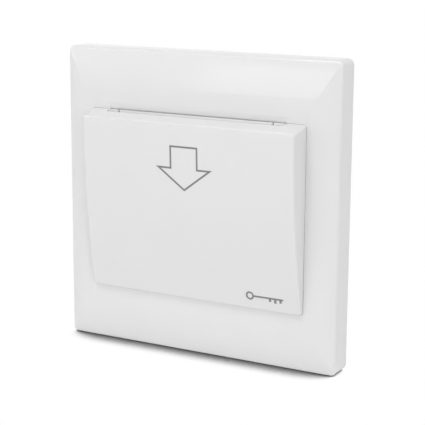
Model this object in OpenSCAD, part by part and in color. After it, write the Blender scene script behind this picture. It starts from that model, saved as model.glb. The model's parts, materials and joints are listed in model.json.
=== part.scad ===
// Key card switch for an 86 mm wall box: a card pushed into the pocket swings a lever and closes the supply.
// X runs to the right, Y into the wall and Z up, in millimetres.
// The origin is the centre of the plate on the wall plane. A depth is measured from that plane to the front,
// so a depth d lies at y = -d, and the pieces inside the wall box have negative depths.

/* [Front frame] */
// Width and height of the front frame
plate_size = 86; // [84:0.5:90]
// Corner radius of the front frame
plate_corner_r = 3; // [2.5:0.5:5]
// Depth of the front frame at its outer edge
edge_depth = 7.4; // [6.8:0.1:8.4]
// Rise of the flat land above the outer edge
crown_rise = 1.9; // [1.4:0.1:2.4]
// Width of the crowned slope at the left and right edges
side_slope_w = 6.8; // [5.5:0.1:7.5]
// Width of the crowned slope at the top and bottom edges
end_slope_w = 10.6; // [8:0.1:12]
// Angle of the crease where the slope leaves the land
crease_angle = 2; // [1:0.5:4]
// Chamfer along the front edge
edge_chamfer = 0.8; // [0.4:0.1:1.2]
// Wall thickness of the front frame
frame_wall = 2; // [1.5:0.1:2.2]
// Width of the ribs that grip the mounting base
grip_w = 6; // [4:0.5:10]
// Distance of the grip ribs from the middle of each side
grip_place = 24; // [16:1:30]
// Gap between a grip rib and the mounting base
grip_gap = 0.2; // [0.1:0.05:0.4]

/* [Card cover] */
// Width of the cover at its foot
cover_w = 67.2; // [66:0.2:69]
// Height of the cover at its foot
cover_h = 52; // [50:0.5:54]
// Gap between the cover and the window of the frame
cover_gap = 0.3; // [0.2:0.05:0.5]
// Rise of the cover's face above the land at its top
top_rise = 6.2; // [5.5:0.1:7.5]
// Rise of the cover's face above the land at its bottom
bottom_rise = 0.9; // [0.7:0.1:1.2]
// Slope of each side wall from foot to face
side_draft = 0.6; // [0.3:0.1:1.2]
// Slope of the top wall from foot to face
top_draft = 1.7; // [1:0.1:2.5]
// Wall thickness of the cover
cover_wall = 1.6; // [1.3:0.1:1.7]
// Reach of the cover's rim behind the land
rim_reach = 1.7; // [1:0.1:2]
// Width of a cover leg
leg_w = 6; // [4:0.5:8]
// Height of the cover legs above and below the middle
leg_place = 12; // [10:0.5:13]
// Gap between a cover leg and the mounting base
leg_gap = 0.3; // [0.2:0.05:0.5]

/* [Card pocket] */
// Width of the key card
card_w = 54; // [52:0.5:54]
// Room beside the card in the slot, each side
card_side_gap = 0.8; // [0.6:0.1:1]
// Opening of the slot mouth from back to front
slot_t = 0.95; // [0.9:0.05:1.4]
// Height of the card stop above the bottom of the cover
stop_rise = 12; // [11:0.5:14]
// Half width of the notch in the top wall of the cover, where the lip of the card guide shows
notch_half = 24.5; // [20:0.1:25]
// Length of the notch in front of the slot
notch_l = 2.2; // [1.5:0.1:2.6]
// Gap between each end of the lip and the notch
lip_gap = 0.4; // [0.3:0.05:0.8]
// Thickness of the lip
lip_t = 0.8; // [0.6:0.05:1]
// Drop of the rounded lead-in above the slot
leadin_drop = 0.4; // [0.3:0.05:0.5]
// Length of the rounded lead-in above the slot
leadin_l = 2.2; // [1.5:0.1:4]
// Set-back of the tray face behind the end of the lead-in
tray_setback = 0.1; // [0.1:0.05:0.4]
// Thickness of the card tray
tray_t = 1.6; // [1.4:0.1:1.8]
// Gap between the tray and the cover around it
tray_gap = 0.3; // [0.2:0.05:0.5]
// Gap between the bottom of the tray and the cover
tray_end_gap = 1.4; // [1.2:0.1:2]
// Height of the card rails and the card stop above the tray
rail_h = 1.5; // [1:0.1:1.6]
// Thickness of the card rails and the card stop
rail_t = 1.2; // [0.9:0.1:1.4]
// Gap between the card and each rail
rail_gap = 0.3; // [0.2:0.05:0.5]
// Distance of the rails' upper ends below the top of the cover
rail_lead = 10; // [6:0.5:14]
// Set-back of the card stop's ends from the rails
stop_inset = 5; // [3:0.5:8]
// Distance of the upper tray screws below the top of the tray
tray_fix_top = 3.1; // [2.6:0.1:4]
// Distance of the lower tray screws above the bottom of the tray
tray_fix_bottom = 5; // [4:0.1:6]
// Distance of the tray screws' heads from the sides of the tray
tray_fix_side = 0.1; // [0.1:0.1:0.6]
// Floor of the tray under the head of a tray screw
head_floor = 0.6; // [0.5:0.05:0.8]
// Thickness of the ribs of the card guide
guide_t = 1.2; // [0.8:0.1:1.6]
// Length of the ribs of the card guide
guide_l = 28; // [20:1:32]
// Height of the card guide's crossbar under the top wall
guide_bar_h = 1.8; // [1.5:0.1:2.4]
// Reach of the card guide's crossbar past the notch
guide_lap = 0.5; // [0.3:0.1:0.8]
// Clearance between the card guide and the inside of the cover
guide_play = 0.05; // [0.03:0.01:0.1]

/* [Mounting base] */
// Thickness of the mounting base
base_t = 2.4; // [2.2:0.1:2.8]
// Corner radius of the mounting base
base_corner_r = 2; // [1:0.5:3]
// Gap between the mounting base and the wall of the frame
base_gap = 1; // [0.6:0.1:1.5]
// Spacing of the two wall screws
screw_spacing = 60.3; // [60:0.1:61]
// Width of the slots for the wall screws
screw_slot_w = 4.5; // [4.2:0.1:5]
// Length of the slots for the wall screws
screw_slot_l = 8; // [6:0.5:9]
// Radius kept free round each wall screw for its head and a driver
screw_room_r = 4.6; // [4.2:0.1:5]
// Width of the cable opening in the mounting base
opening_w = 37; // [30:1:38]
// Top of the cable opening above the middle
opening_top = 20; // [18:0.5:22]
// Bottom of the cable opening below the middle
opening_bottom = 6; // [4:0.5:6]
// Floor of the base behind the tip of a tray screw
pilot_floor = 0.4; // [0.3:0.05:0.8]
// Room between a screw's tip and the end of its hole
tip_room = 0.3; // [0.1:0.05:0.5]

/* [Lever and microswitch] */
// Width of the card lever
lever_w = 6; // [4:0.5:7]
// Distance of the lever's pivot below the card stop
pivot_drop = 3.5; // [3:0.1:4]
// Depth of the lever's pivot
pivot_depth = 4.4; // [4.35:0.05:4.6]
// Radius of the lever's hub
hub_r = 1.7; // [1.5:0.05:1.7]
// Radius of the lever pin
pin_r = 0.8; // [0.6:0.05:0.9]
// Running clearance of the lever on its pin
pin_play = 0.05; // [0.03:0.01:0.08]
// Seating clearance of the pin in its ears
pin_seat_play = 0.02; // [0.01:0.01:0.03]
// Thickness of the lever's arm
arm_t = 1.8; // [1.4:0.1:2]
// Distance of the arm's back face behind the pivot
arm_offset = 1; // [0.9:0.05:1.1]
// Reach of the nose in front of the tray
nose_reach = 1; // [0.9:0.1:1.6]
// Distance of the nose's tip above the pivot
nose_rise = 6.3; // [6:0.1:6.6]
// Height of the nose at its root
nose_root_h = 3.9; // [3:0.1:4.2]
// Height of the nose at its tip
nose_tip_h = 0.8; // [0.5:0.1:1.2]
// Length of the lever's tail below the pivot
tail_l = 5.4; // [5:0.1:5.6]
// Thickness of the lever's tail
tail_t = 1.2; // [1:0.1:1.4]
// Thickness of the ears that hold the pin
ear_t = 1.6; // [1.2:0.1:2]
// Wall of the ears round the pin
ear_wall = 1.2; // [0.9:0.1:1.4]
// Room above the nose for its swing
swing_room = 1.2; // [1:0.1:1.4]
// Side gap between the lever and its ears or windows
lever_gap = 0.3; // [0.2:0.05:0.5]
// Wire radius of the return spring
spring_wire_r = 0.2; // [0.15:0.01:0.22]
// Mean radius of the return spring
spring_r = 1.1; // [0.9:0.05:1.3]
// Clearance at each end of the return spring
spring_gap = 0.05; // [0.03:0.01:0.08]
// Distance of the return spring from the end of the lever's tail
spring_inset = 0.2; // [0.1:0.05:0.4]
// Turns of the return spring
spring_turns = 2.5; // [2:0.5:3]
// Length of the microswitch
switch_l = 12.8; // [12:0.1:14]
// Thickness of the microswitch
switch_t = 5.8; // [5:0.1:6]
// Height of the microswitch behind the base
switch_h = 6.5; // [6:0.1:6.8]
// Height of the plunger's axis above the pivot
plunger_rise = 5.5; // [5:0.1:6]
// Radius of the plunger
plunger_r = 0.8; // [0.6:0.05:0.9]
// Running clearance of the plunger
plunger_play = 0.05; // [0.03:0.01:0.08]
// Gap between the plunger and the lever at rest
plunger_gap = 0.3; // [0.2:0.05:0.4]
// Length of the plunger
plunger_l = 4.3; // [4:0.1:4.6]
// Travel left free behind the plunger
plunger_travel = 2; // [1.8:0.1:2.4]
// Radius of the pegs that carry the microswitch
peg_r = 0.98; // [0.8:0.02:1.1]
// Distance of the pegs from the middle of the microswitch
peg_place = 3.25; // [3:0.05:3.6]
// Distance of the pegs behind the front of the microswitch
peg_reach = 4.55; // [4:0.05:5]
// Length of the pegs
peg_l = 4.6; // [3:0.1:5]
// Clearance of the pegs in the microswitch
peg_play = 0.02; // [0.01:0.01:0.05]
// Thickness of the shelf under the microswitch
shelf_t = 1.4; // [1.2:0.1:1.8]
// Spacing of the microswitch terminals
blade_pitch = 5.08; // [4.8:0.02:5.2]
// Width of a microswitch terminal
tab_w = 1.2; // [0.8:0.1:1.4]
// Thickness of a microswitch terminal
tab_t = 0.5; // [0.4:0.05:0.6]

/* [Reader board] */
// Gap between the reader board and the bosses of the tray screws
reader_side_gap = 2.1; // [1:0.1:4]
// Distance of the reader board below the top of the tray
reader_top_gap = 1.1; // [0.6:0.1:3]
// Bottom of the reader board below the middle
reader_bottom = 4; // [3:0.5:5]
// Thickness of both circuit boards
board_t = 1.6; // [1.2:0.1:1.6]
// Gap between the tray and the reader board
reader_gap = 0.6; // [0.5:0.05:0.8]
// Radius of the stakes that hold the reader board
stake_r = 1.2; // [0.9:0.05:1.4]
// Clearance of the stakes in the reader board
stake_play = 0.1; // [0.05:0.05:0.2]
// Set-back of the stakes from the edges of the reader board
stake_inset = 3; // [2.5:0.1:4]
// Width of the shoulder that the reader board sits on
stake_shoulder = 0.8; // [0.5:0.1:1]
// Reach of the stakes behind the reader board
stake_end = 0.8; // [0.5:0.1:1.2]
// Turns of the antenna track
antenna_turns = 4; // [2:1:5]
// Width of the antenna track
antenna_track = 0.5; // [0.3:0.05:0.6]
// Gap between the turns of the antenna track
antenna_space = 0.5; // [0.3:0.05:0.6]
// Thickness of the antenna track
antenna_t = 0.1; // [0.05:0.01:0.2]
// Distance of the antenna's corners from the stakes
antenna_inset = 6; // [5:0.5:8]
// Set-back of the antenna from the top and bottom of the board
antenna_end_inset = 7; // [6.8:0.1:8]
// Side of the reader chip
chip_side = 7; // [5:0.5:9]
// Thickness of the reader chip
chip_t = 1; // [0.8:0.1:1.4]
// Leads along each side of the reader chip
chip_leads = 8; // [6:1:10]
// Length of a chip lead outside its body
chip_lead_l = 1; // [0.6:0.1:1.4]
// Width of a chip lead
chip_lead_w = 0.3; // [0.2:0.02:0.36]
// Thickness of a chip lead
chip_lead_t = 0.3; // [0.2:0.05:0.4]
// Height of the chip's body above the board
chip_lift = 0.1; // [0.05:0.01:0.15]
// Radius of an indicator light
led_r = 1.5; // [1:0.1:1.6]
// Clearance round an indicator light
led_gap = 0.2; // [0.1:0.05:0.4]
// Distance of the indicator lights from the middle
led_place = 12; // [8:0.5:16]
// Distance of the indicator lights below the top of the reader board
led_drop = 2.3; // [2.2:0.1:3]
// Pins of the link between the boards
link_pins_n = 6; // [4:1:6]
// Spacing of the link pins
link_pitch = 2.54; // [2:0.02:2.54]
// Side of a link pin
link_pin_side = 0.6; // [0.5:0.02:0.7]
// Clearance of the link pins in the boards
link_play = 0.1; // [0.05:0.05:0.2]
// Distance of the link below the top of the reader board
link_drop = 6.3; // [6:0.1:8]
// Width of the link strip
link_strip_w = 2.5; // [2:0.1:3]
// Height of the link strip on the board
link_strip_d = 2.5; // [2:0.1:2.6]
// Reach of the link pins and terminals past the power board
pin_tail = 0.5; // [0.3:0.05:0.6]
// Reach of the link pins past the reader board
pin_head = 0.3; // [0.2:0.05:0.4]

/* [Rear housing] */
// Width and height of the rear housing
housing_size = 51; // [50:0.5:52]
// Gap between the relay and the floor of the rear housing
relay_gap = 0.4; // [0.3:0.1:4]
// Wall thickness of the rear housing
housing_wall = 1.8; // [1.4:0.1:2]
// Corner radius of the rear housing
housing_corner_r = 3; // [2.5:0.5:5]
// Depth of the seat for the housing in the mounting base
seat_d = 0.6; // [0.4:0.1:0.8]
// Gap round the housing in its seat
seat_gap = 0.2; // [0.1:0.05:0.4]
// Radius of the screws that hold housing, boards and tray
fix_r = 1.25; // [1:0.05:1.3]
// Clearance of those screws in their holes
fix_play = 0.02; // [0.01:0.01:0.05]
// Radius of those screws' heads
fix_head_r = 2.1; // [1.8:0.05:2.2]
// Height of those screws' heads
fix_head_h = 1.4; // [1:0.1:1.6]
// Length of the cross recess in those screws' heads
fix_recess_l = 3; // [2.4:0.1:3.2]
// Width of the cross recess in those screws' heads
fix_recess_w = 0.6; // [0.4:0.05:0.8]
// Depth of the cross recess in those screws' heads
fix_recess_d = 0.7; // [0.4:0.05:0.8]
// Radius of the bosses for those screws
boss_r = 2.4; // [2.1:0.05:2.5]
// Overlap of the housing's bosses with its walls
boss_merge = 0.3; // [0.2:0.05:0.5]
// Length of those screws below their heads
fix_l = 7; // [5:0.5:8]
// Distance of the housing screws above and below the middle
housing_fix_place = 14.5; // [13:0.5:15]
// Vent slots in each side of the housing
vents = 5; // [3:1:6]
// Width of a vent slot
vent_w = 1.4; // [1:0.1:1.8]
// Length of a vent slot
vent_l = 10; // [6:0.5:12]
// Spacing of the vent slots
vent_pitch = 4; // [3:0.5:4.5]
// Set-back of the vent slots from the floor of the housing
vent_inset = 3; // [2:0.5:5]

/* [Power board] */
// Gap between the power board and the walls of the housing
power_edge_gap = 1.7; // [1.2:0.1:2.2]
// Distance of the power board behind the wall plane
power_back = 9; // [8.8:0.1:9.2]
// Set-back of the board screws from the edges of the power board
power_fix_inset = 2.1; // [2.1:0.1:3]
// Radius of the posts under the power board
post_r = 2.1; // [1.9:0.05:2.3]
// Gap between the power parts and the housing
power_gap = 0.3; // [0.2:0.05:0.5]

/* [Relay] */
// Length of the relay
relay_l = 19; // [18:0.5:19.5]
// Width of the relay
relay_w = 15.5; // [14:0.5:15.5]
// Height of the relay
relay_h = 15.2; // [15:0.1:15.3]
// Distance of the relay from the right edge of the board
relay_inset = 1.5; // [1.2:0.1:2]
// Height of the relay and the transformer above the microswitch
relay_rise = 9.8; // [9.6:0.1:10]
// Wall thickness of the relay cover
relay_wall = 0.8; // [0.6:0.05:0.9]
// Thickness of the relay base
relay_base_t = 2; // [1.6:0.1:2.2]
// Thickness of the yoke
yoke_t = 1; // [0.8:0.1:1.2]
// Width of the yoke
yoke_w = 8; // [6:0.5:9]
// Room between the armature and the relay cover
armature_room = 0.7; // [0.6:0.05:1]
// Room between the yoke and the relay cover
yoke_room = 0.7; // [0.5:0.05:0.8]
// Radius of the core
core_r = 1.8; // [1.4:0.1:2]
// Radius of the pole face
pole_r = 2.6; // [2.2:0.1:3]
// Thickness of the pole face
pole_t = 0.6; // [0.4:0.1:0.8]
// Gap between the pole face and the armature
air_gap = 0.9; // [0.8:0.05:1]
// Radius of the coil winding
coil_r = 4.4; // [3.6:0.1:4.8]
// Clearance of the winding on the core
coil_play = 0.1; // [0.05:0.05:0.2]
// Thickness of the armature
armature_t = 0.8; // [0.6:0.05:0.9]
// Gap between the armature and the end of the yoke
armature_gap = 0.3; // [0.2:0.05:0.4]
// Reach of the armature past the pole face
armature_lap = 0.8; // [0.4:0.1:1]
// Set-back of the armature's edges from the yoke's
armature_inset = 0.4; // [0.2:0.1:0.8]
// Radius of the contact buttons
contact_r = 1.2; // [0.9:0.1:1.4]
// Height of the moving contact button
contact_h = 0.7; // [0.5:0.05:0.8]
// Opening between the contacts
contact_gap = 1.3; // [1.25:0.05:1.5]
// Height of the fixed contact button
fixed_contact_h = 0.5; // [0.4:0.05:0.7]
// Room between the contacts and the relay cover
contact_room = 1; // [0.8:0.1:1.2]
// Room between the contact post and the relay cover
post_room = 0.5; // [0.3:0.05:0.6]
// Thickness of the contact blades
blade_t = 0.4; // [0.3:0.05:0.5]
// Width of the contact blades
blade_w = 3; // [2.4:0.1:4]

/* [Power parts] */
// Width of the transformer core
core_w = 16; // [14:0.5:17]
// Height of the transformer core
core_h = 12; // [10:0.5:13]
// Thickness of the transformer core
core_t = 6; // [5:0.5:7]
// Width of the middle leg of the transformer core
core_leg = 5.2; // [4:0.2:5.6]
// Width of each window in the transformer core
core_window = 3; // [2.6:0.1:3.4]
// Thickness of the winding round the core
winding_t = 2.7; // [2.2:0.1:2.9]
// Clearance of the winding on the core
winding_play = 0.1; // [0.05:0.05:0.15]
// Distance of the transformer from the left edge of the board
core_inset = 2; // [1.6:0.1:2.4]
// Radius of the smoothing capacitor
bulk_r = 4; // [3:0.1:4.2]
// Height of the smoothing capacitor
bulk_h = 12; // [9:0.5:14]
// Depth of the rolled groove of the smoothing capacitor
groove_d = 0.4; // [0.2:0.05:0.5]
// Height of the rolled groove above the board
groove_place = 1.4; // [1:0.1:2]
// Gap between the rectifier and the smoothing capacitor
bulk_gap = 0.6; // [0.4:0.1:0.8]
// Distance of the smoothing capacitor below the top of the board
bulk_drop = 9; // [8.8:0.1:9.4]
// Length of the film capacitor
film_l = 13; // [10:0.5:14]
// Width of the film capacitor
film_w = 5.6; // [4:0.1:6]
// Height of the film capacitor
film_h = 11; // [8:0.5:13]
// Gap between the surge disc and the film capacitor
film_gap = 2.3; // [1:0.1:3]
// Distance of the film capacitor below the top of the board
film_drop = 9.8; // [9.4:0.1:10.2]
// Radius of the surge disc
surge_r = 4.2; // [3.5:0.1:4.4]
// Thickness of the surge disc
surge_t = 3.4; // [2.5:0.1:3.6]
// Height of the surge disc above the board
surge_lift = 1.5; // [1:0.1:2]
// Gap between the smoothing capacitor and the surge disc
surge_gap = 2.3; // [1:0.1:3]
// Distance of the surge disc below the top of the board
surge_drop = 9.4; // [9.2:0.1:9.8]
// Radius of the lead wires
lead_r = 0.4; // [0.3:0.05:0.45]
// Radius of the fuse tube
fuse_r = 1.7; // [1.4:0.05:1.8]
// Length of the fuse over its caps
fuse_l = 18; // [17:0.5:20]
// Length of a fuse cap
fuse_cap_l = 3; // [2:0.1:4]
// Wall thickness of a fuse cap
fuse_cap_t = 0.3; // [0.2:0.05:0.35]
// Height of the fuse above the board
fuse_lift = 0.9; // [0.7:0.1:1.2]
// Distance of the fuse below the top of the board
fuse_drop = 2.8; // [2.4:0.1:3]
// Width of the rectifier
bridge_w = 5.6; // [4.5:0.1:6]
// Height of the rectifier on the board
bridge_h = 3.8; // [3:0.1:4.2]
// Thickness of the rectifier
bridge_t = 2.4; // [2:0.1:3]
// Distance of the rectifier from the left edge of the board
bridge_inset = 1.8; // [1.2:0.1:2]
// Distance of the rectifier below the top of the board
bridge_drop = 13.2; // [12.8:0.1:13.6]

/* [Terminals] */
// Poles of the terminal block
poles = 4; // [3:1:4]
// Spacing of the poles
pole_pitch = 7.6; // [7.4:0.1:7.8]
// Height of the terminal block from bottom to top
block_h = 9; // [8.4:0.1:10]
// Depth of the terminal block behind the power board
block_d = 16.3; // [16:0.1:16.6]
// Set-back of the block from the bottom of the housing
block_inset = 0.6; // [0.4:0.1:0.8]
// Width and height of a wire entry
entry_side = 4.8; // [4.6:0.1:5]
// Wall thickness of a clamp cage
cage_t = 0.7; // [0.5:0.05:0.7]
// Height of a clamp cage
cage_h = 7.2; // [6:0.1:7.4]
// Clearance of a clamp cage in the block
cage_gap = 0.1; // [0.05:0.05:0.15]
// Thickness of the threaded bar of a clamp cage
cage_bar = 1.6; // [1.2:0.1:1.8]
// Floor of the terminal block under a clamp cage
block_floor = 2.4; // [2:0.1:2.6]
// Radius of a clamp screw
clamp_r = 1.5; // [1.25:0.05:1.6]
// Radius of a clamp screw's head
clamp_head_r = 2.5; // [2.2:0.05:2.6]
// Height of a clamp screw's head
clamp_head_h = 2.2; // [1.8:0.1:2.4]
// Reach of a clamp screw's tip past the bar
clamp_reach = 0.6; // [0.4:0.1:0.8]
// Room between a clamp screw's tip and the wire entry
clamp_clear = 0.2; // [0.1:0.05:0.4]
// Room between a clamp screw's head and the bar
clamp_room = 1.4; // [1:0.1:1.6]
// Gap round a clamp screw's head
clamp_gap = 0.3; // [0.2:0.05:0.4]

/* [Hidden] */
$fn = 64;
// How far a cut runs past a face, and how far a joined shape is sunk into its neighbour
over = 1;
sink = 0.2;
SIDES = [-1, 1];

// Front frame
plate_half = plate_size / 2;
land_depth = edge_depth + crown_rise;
window_w = cover_w + 2 * cover_gap;
window_h = cover_h + 2 * cover_gap;
frame_inside = plate_half - frame_wall;
base_half = frame_inside - base_gap;

// Card cover and pocket
rim_depth = land_depth - rim_reach;
face_depth = land_depth + top_rise;
face_top = cover_h / 2 - top_draft;
face_run = cover_h - top_draft;
face_drop = top_rise - bottom_rise;
face_r = (face_run * face_run + face_drop * face_drop) / (2 * face_drop);
face_facets = 720;
slot_half = card_w / 2 + card_side_gap;
leadin_depth = land_depth - leadin_drop;
leadin_r = (leadin_l * leadin_l + leadin_drop * leadin_drop) / (2 * leadin_drop);
lip_depth = leadin_depth + slot_t;
notch_depth = lip_depth + notch_l;
guide_half = notch_half + guide_t;
guide_bar_bottom = cover_h / 2 - cover_wall - guide_bar_h;
tray_front = leadin_depth - tray_setback;
tray_back = tray_front - tray_t;
tray_half = cover_w / 2 - cover_wall - tray_gap;
tray_top = cover_h / 2 - cover_wall - tray_gap;
tray_bottom = -(cover_h / 2 - cover_wall - tray_end_gap);
tongue_half = slot_half - tray_gap;
card_stop = -cover_h / 2 + stop_rise;
rail_in = card_w / 2 + rail_gap;
rail_top = cover_h / 2 - rail_lead;
stop_half = rail_in - stop_inset;
tray_fix_x = tray_half - fix_head_r - tray_fix_side;

// Lever and microswitch
pivot_z = card_stop - pivot_drop;
arm_back = pivot_depth - arm_offset;
arm_front = arm_back + arm_t;
nose_depth = tray_front + nose_reach;
nose_z = pivot_z + nose_rise;
nose_top = nose_z + nose_tip_h / 2 + nose_root_h / 2;
window_half = lever_w / 2 + lever_gap;
ear_out = window_half + ear_t;
ear_h = 2 * (pin_r + ear_wall);
switch_z = pivot_z + plunger_rise;
switch_back = seat_d - switch_h;
plunger_tip = arm_back - plunger_gap;
plunger_foot = plunger_tip - plunger_l;
peg_depth = seat_d - peg_reach;
swing_top = nose_top + swing_room;
lever_window_bottom = pivot_z + hub_r + lever_gap;
nose_window_bottom = nose_z - nose_root_h / 2 - lever_gap;

// Reader board
reader_half = tray_fix_x - boss_r - reader_side_gap;
reader_top = tray_top - reader_top_gap;
link_z = reader_top - link_drop;
reader_front = tray_back - reader_gap;
reader_back = reader_front - board_t;
reader_h = reader_top + reader_bottom;
reader_mid = (reader_top - reader_bottom) / 2;
stake_x = reader_half - stake_inset;
stake_zs = [reader_top - stake_inset, -reader_bottom + stake_inset];
antenna_half_w = stake_x - antenna_inset;
antenna_half_h = reader_h / 2 - antenna_end_inset;
led_z = reader_top - led_drop;
link_half = link_pitch * link_pins_n / 2;

// Rear housing and power board
housing_half = housing_size / 2;
housing_in = housing_half - housing_wall;
power_front = -power_back;
power_rear = power_front - board_t;
floor_depth = power_rear - relay_h - relay_gap;
housing_d = housing_wall - floor_depth;
power_half = housing_in - power_edge_gap;
power_fix = power_half - power_fix_inset;
housing_fix_x = housing_in - boss_r + boss_merge;
tray_fix_zs = [tray_top - tray_fix_top, tray_bottom + tray_fix_bottom];
head_seat = tray_back + head_floor;

// Relay: places along the relay are measured from the core's axis
relay_x = power_half - relay_inset - relay_l / 2;
relay_z = switch_z + relay_rise;
yoke_x = -(relay_l / 2 - relay_wall - yoke_room);
armature_bottom = power_rear - relay_h + relay_wall + armature_room + armature_t;
yoke_top = armature_bottom + armature_gap;
pole_face = armature_bottom + air_gap;
contact_x = relay_l / 2 - relay_wall - contact_r - contact_room;
contact_rest = armature_bottom + contact_h;
contact_face = contact_rest + contact_gap;

// Power parts
core_x = -(power_half - core_inset - core_w / 2);
bridge_x = -(power_half - bridge_inset - bridge_w / 2);
bridge_z = power_half - bridge_drop;
bulk_x = bridge_x + bridge_w / 2 + bulk_gap + bulk_r;
bulk_z = power_half - bulk_drop;
surge_x = bulk_x + bulk_r + surge_gap + surge_t / 2;
surge_z = power_half - surge_drop;
surge_depth = power_rear - surge_r - surge_lift;
film_x = surge_x + surge_t / 2 + film_gap + film_l / 2;
film_z = power_half - film_drop;
fuse_z = power_half - fuse_drop;
fuse_depth = power_rear - fuse_r - fuse_cap_t - fuse_lift;

// Terminals
block_half = poles * pole_pitch / 2;
block_bottom = -(housing_half - block_inset);
block_top = block_bottom + block_h;
cage_half = entry_side / 2 + cage_t;
cage_front = power_rear - block_floor - cage_gap;
cage_inside = cage_front - cage_t;
cage_bar_front = cage_inside - entry_side - clamp_clear - clamp_reach;
cage_back = cage_bar_front - cage_bar;
cage_z = (block_bottom + block_top) / 2;
clamp_head = cage_back - clamp_room;
POLES = [for (i = [0:poles - 1]) (i - (poles - 1) / 2) * pole_pitch];

// Extrude a drawing of x and z from one depth to another
module at_depth(back, front) {
  translate([0, -back, 0]) rotate([90, 0, 0]) linear_extrude(front - back) children();
}

// Extrude a drawing of z and depth along x, centred
module along_x(length) {
  rotate([180, 0, 0]) rotate([0, 90, 0]) translate([0, 0, -length / 2]) linear_extrude(length) children();
}

// Extrude a drawing of x and depth along z, centred
module along_z(length) {
  rotate([180, 0, 0]) translate([0, 0, -length / 2]) linear_extrude(length) children();
}

// A block given by its ranges of x, z and depth
module block(x, z, d) {
  translate([x[0], -d[1], z[0]]) cube([x[1] - x[0], d[1] - d[0], z[1] - z[0]]);
}

// A round bar from one depth to another
module rod(x, z, r, d) {
  translate([x, -d[0], z]) rotate([90, 0, 0]) cylinder(r = r, h = d[1] - d[0]);
}

// A round bar along x, centred
module rod_x(z, d, r, length) {
  translate([-length / 2, -d, z]) rotate([0, 90, 0]) cylinder(r = r, h = length);
}

module rounded(w, h, r) {
  square([w - 2 * r, h], center = true);
  square([w, h - 2 * r], center = true);
  for (i = SIDES, j = SIDES) translate([i * (w / 2 - r), j * (h / 2 - r)]) circle(r);
}

module long_hole(length, w) {
  square([length - w, w], center = true);
  for (s = SIDES) translate([s * (length - w) / 2, 0]) circle(d = w);
}

// A cheese-head screw with a cross recess: its seat is where the head rests, and it points into the wall
module fixing_screw(x, z, seat, length) {
  difference() {
    union() {
      rod(x, z, fix_head_r, [seat, seat + fix_head_h]);
      rod(x, z, fix_r, [seat - length, seat + sink]);
    }
    for (turn = [0, 90])
      translate([x, 0, z]) rotate([0, turn, 0])
        block(SIDES * fix_recess_l / 2, SIDES * fix_recess_w / 2,
          [seat + fix_head_h - fix_recess_d, seat + fix_head_h + over]);
  }
}

// Section across the frame: a flat land with a crowned slope down to each edge
module crown_section(slope_w) {
  chord = norm([slope_w, crown_rise]);
  bend = atan(crown_rise / slope_w) - crease_angle;
  arc_r = chord / (2 * sin(bend));
  land_half = plate_half - slope_w;
  difference() {
    translate([-plate_half, 0]) square([plate_size, land_depth]);
    for (s = SIDES) {
      difference() {
        translate([s > 0 ? land_half : -plate_half - over, edge_depth - over])
          square([slope_w + over, crown_rise + 2 * over]);
        translate([s * (land_half - arc_r * sin(crease_angle)), land_depth - arc_r * cos(crease_angle)])
          circle(arc_r);
      }
      translate([s * plate_half, edge_depth]) rotate(45) square(edge_chamfer * sqrt(2), center = true);
    }
  }
}

module front_frame() color("whitesmoke") {
  difference() {
    intersection() {
      at_depth(0, land_depth) rounded(plate_size, plate_size, plate_corner_r);
      along_x(plate_size) crown_section(end_slope_w);
      along_z(plate_size) crown_section(side_slope_w);
    }
    at_depth(-over, edge_depth - frame_wall)
      rounded(2 * frame_inside, 2 * frame_inside, plate_corner_r - frame_wall);
    block(SIDES * (plate_half - side_slope_w), SIDES * (plate_half - end_slope_w),
      [-over, land_depth - frame_wall]);
    at_depth(-over, land_depth + over) square([window_w, window_h], center = true);
    along_x(2 * slot_half) difference() {
      translate([window_h / 2 - over, leadin_depth]) square([leadin_l + over, leadin_drop + over]);
      translate([window_h / 2 + leadin_l, land_depth - leadin_r]) circle(leadin_r);
    }
  }
  for (quarter = [0:3], s = SIDES)
    rotate([0, 90 * quarter, 0]) grip_rib(s * grip_place);
}

module grip_rib(place) {
  block([base_half + grip_gap, frame_inside + sink], [place - grip_w / 2, place + grip_w / 2],
    [0, edge_depth - frame_wall + sink]);
}

// Side view of the cover, with the face bent back towards the bottom and the walls moved in by inset
module cover_section(inset) {
  top = cover_h / 2 - inset;
  bottom = -cover_h / 2 + inset;
  back = rim_depth - (inset > 0 ? over : 0);
  intersection() {
    polygon([
      [bottom, back],
      [top, back],
      [top, land_depth],
      [top - top_draft * (top_rise + over) / top_rise, face_depth + over],
      [bottom, face_depth + over]
    ]);
    translate([face_top, face_depth - face_r]) circle(face_r - inset, $fn = face_facets);
  }
}

// Top view of the cover, with its drafted sides moved in by inset
module cover_plan(inset) {
  foot = cover_w / 2 - inset;
  front = foot - side_draft * (top_rise + over) / top_rise;
  polygon([
    [-foot, rim_depth - over],
    [foot, rim_depth - over],
    [foot, land_depth],
    [front, face_depth + over],
    [-front, face_depth + over],
    [-foot, land_depth]
  ]);
}

module cover_form(inset) {
  intersection() {
    along_x(cover_w + 2 * over) cover_section(inset);
    along_z(cover_h + 2 * over) cover_plan(inset);
  }
}

module card_cover() color("whitesmoke") {
  difference() {
    cover_form(0);
    cover_form(cover_wall);
    block(SIDES * slot_half, [cover_h / 2 - cover_wall - over, cover_h / 2 + over],
      [rim_depth - over, lip_depth]);
    block(SIDES * notch_half, [face_top - cover_wall - over, cover_h / 2 + over],
      [rim_depth - over, notch_depth]);
  }
  for (s = SIDES, t = SIDES)
    mirror([s < 0 ? 1 : 0, 0, 0])
      block([cover_w / 2 - cover_wall, cover_w / 2 - sink],
        [t * leg_place - leg_w / 2, t * leg_place + leg_w / 2],
        [base_t + leg_gap, rim_depth + sink]);
}

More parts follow.
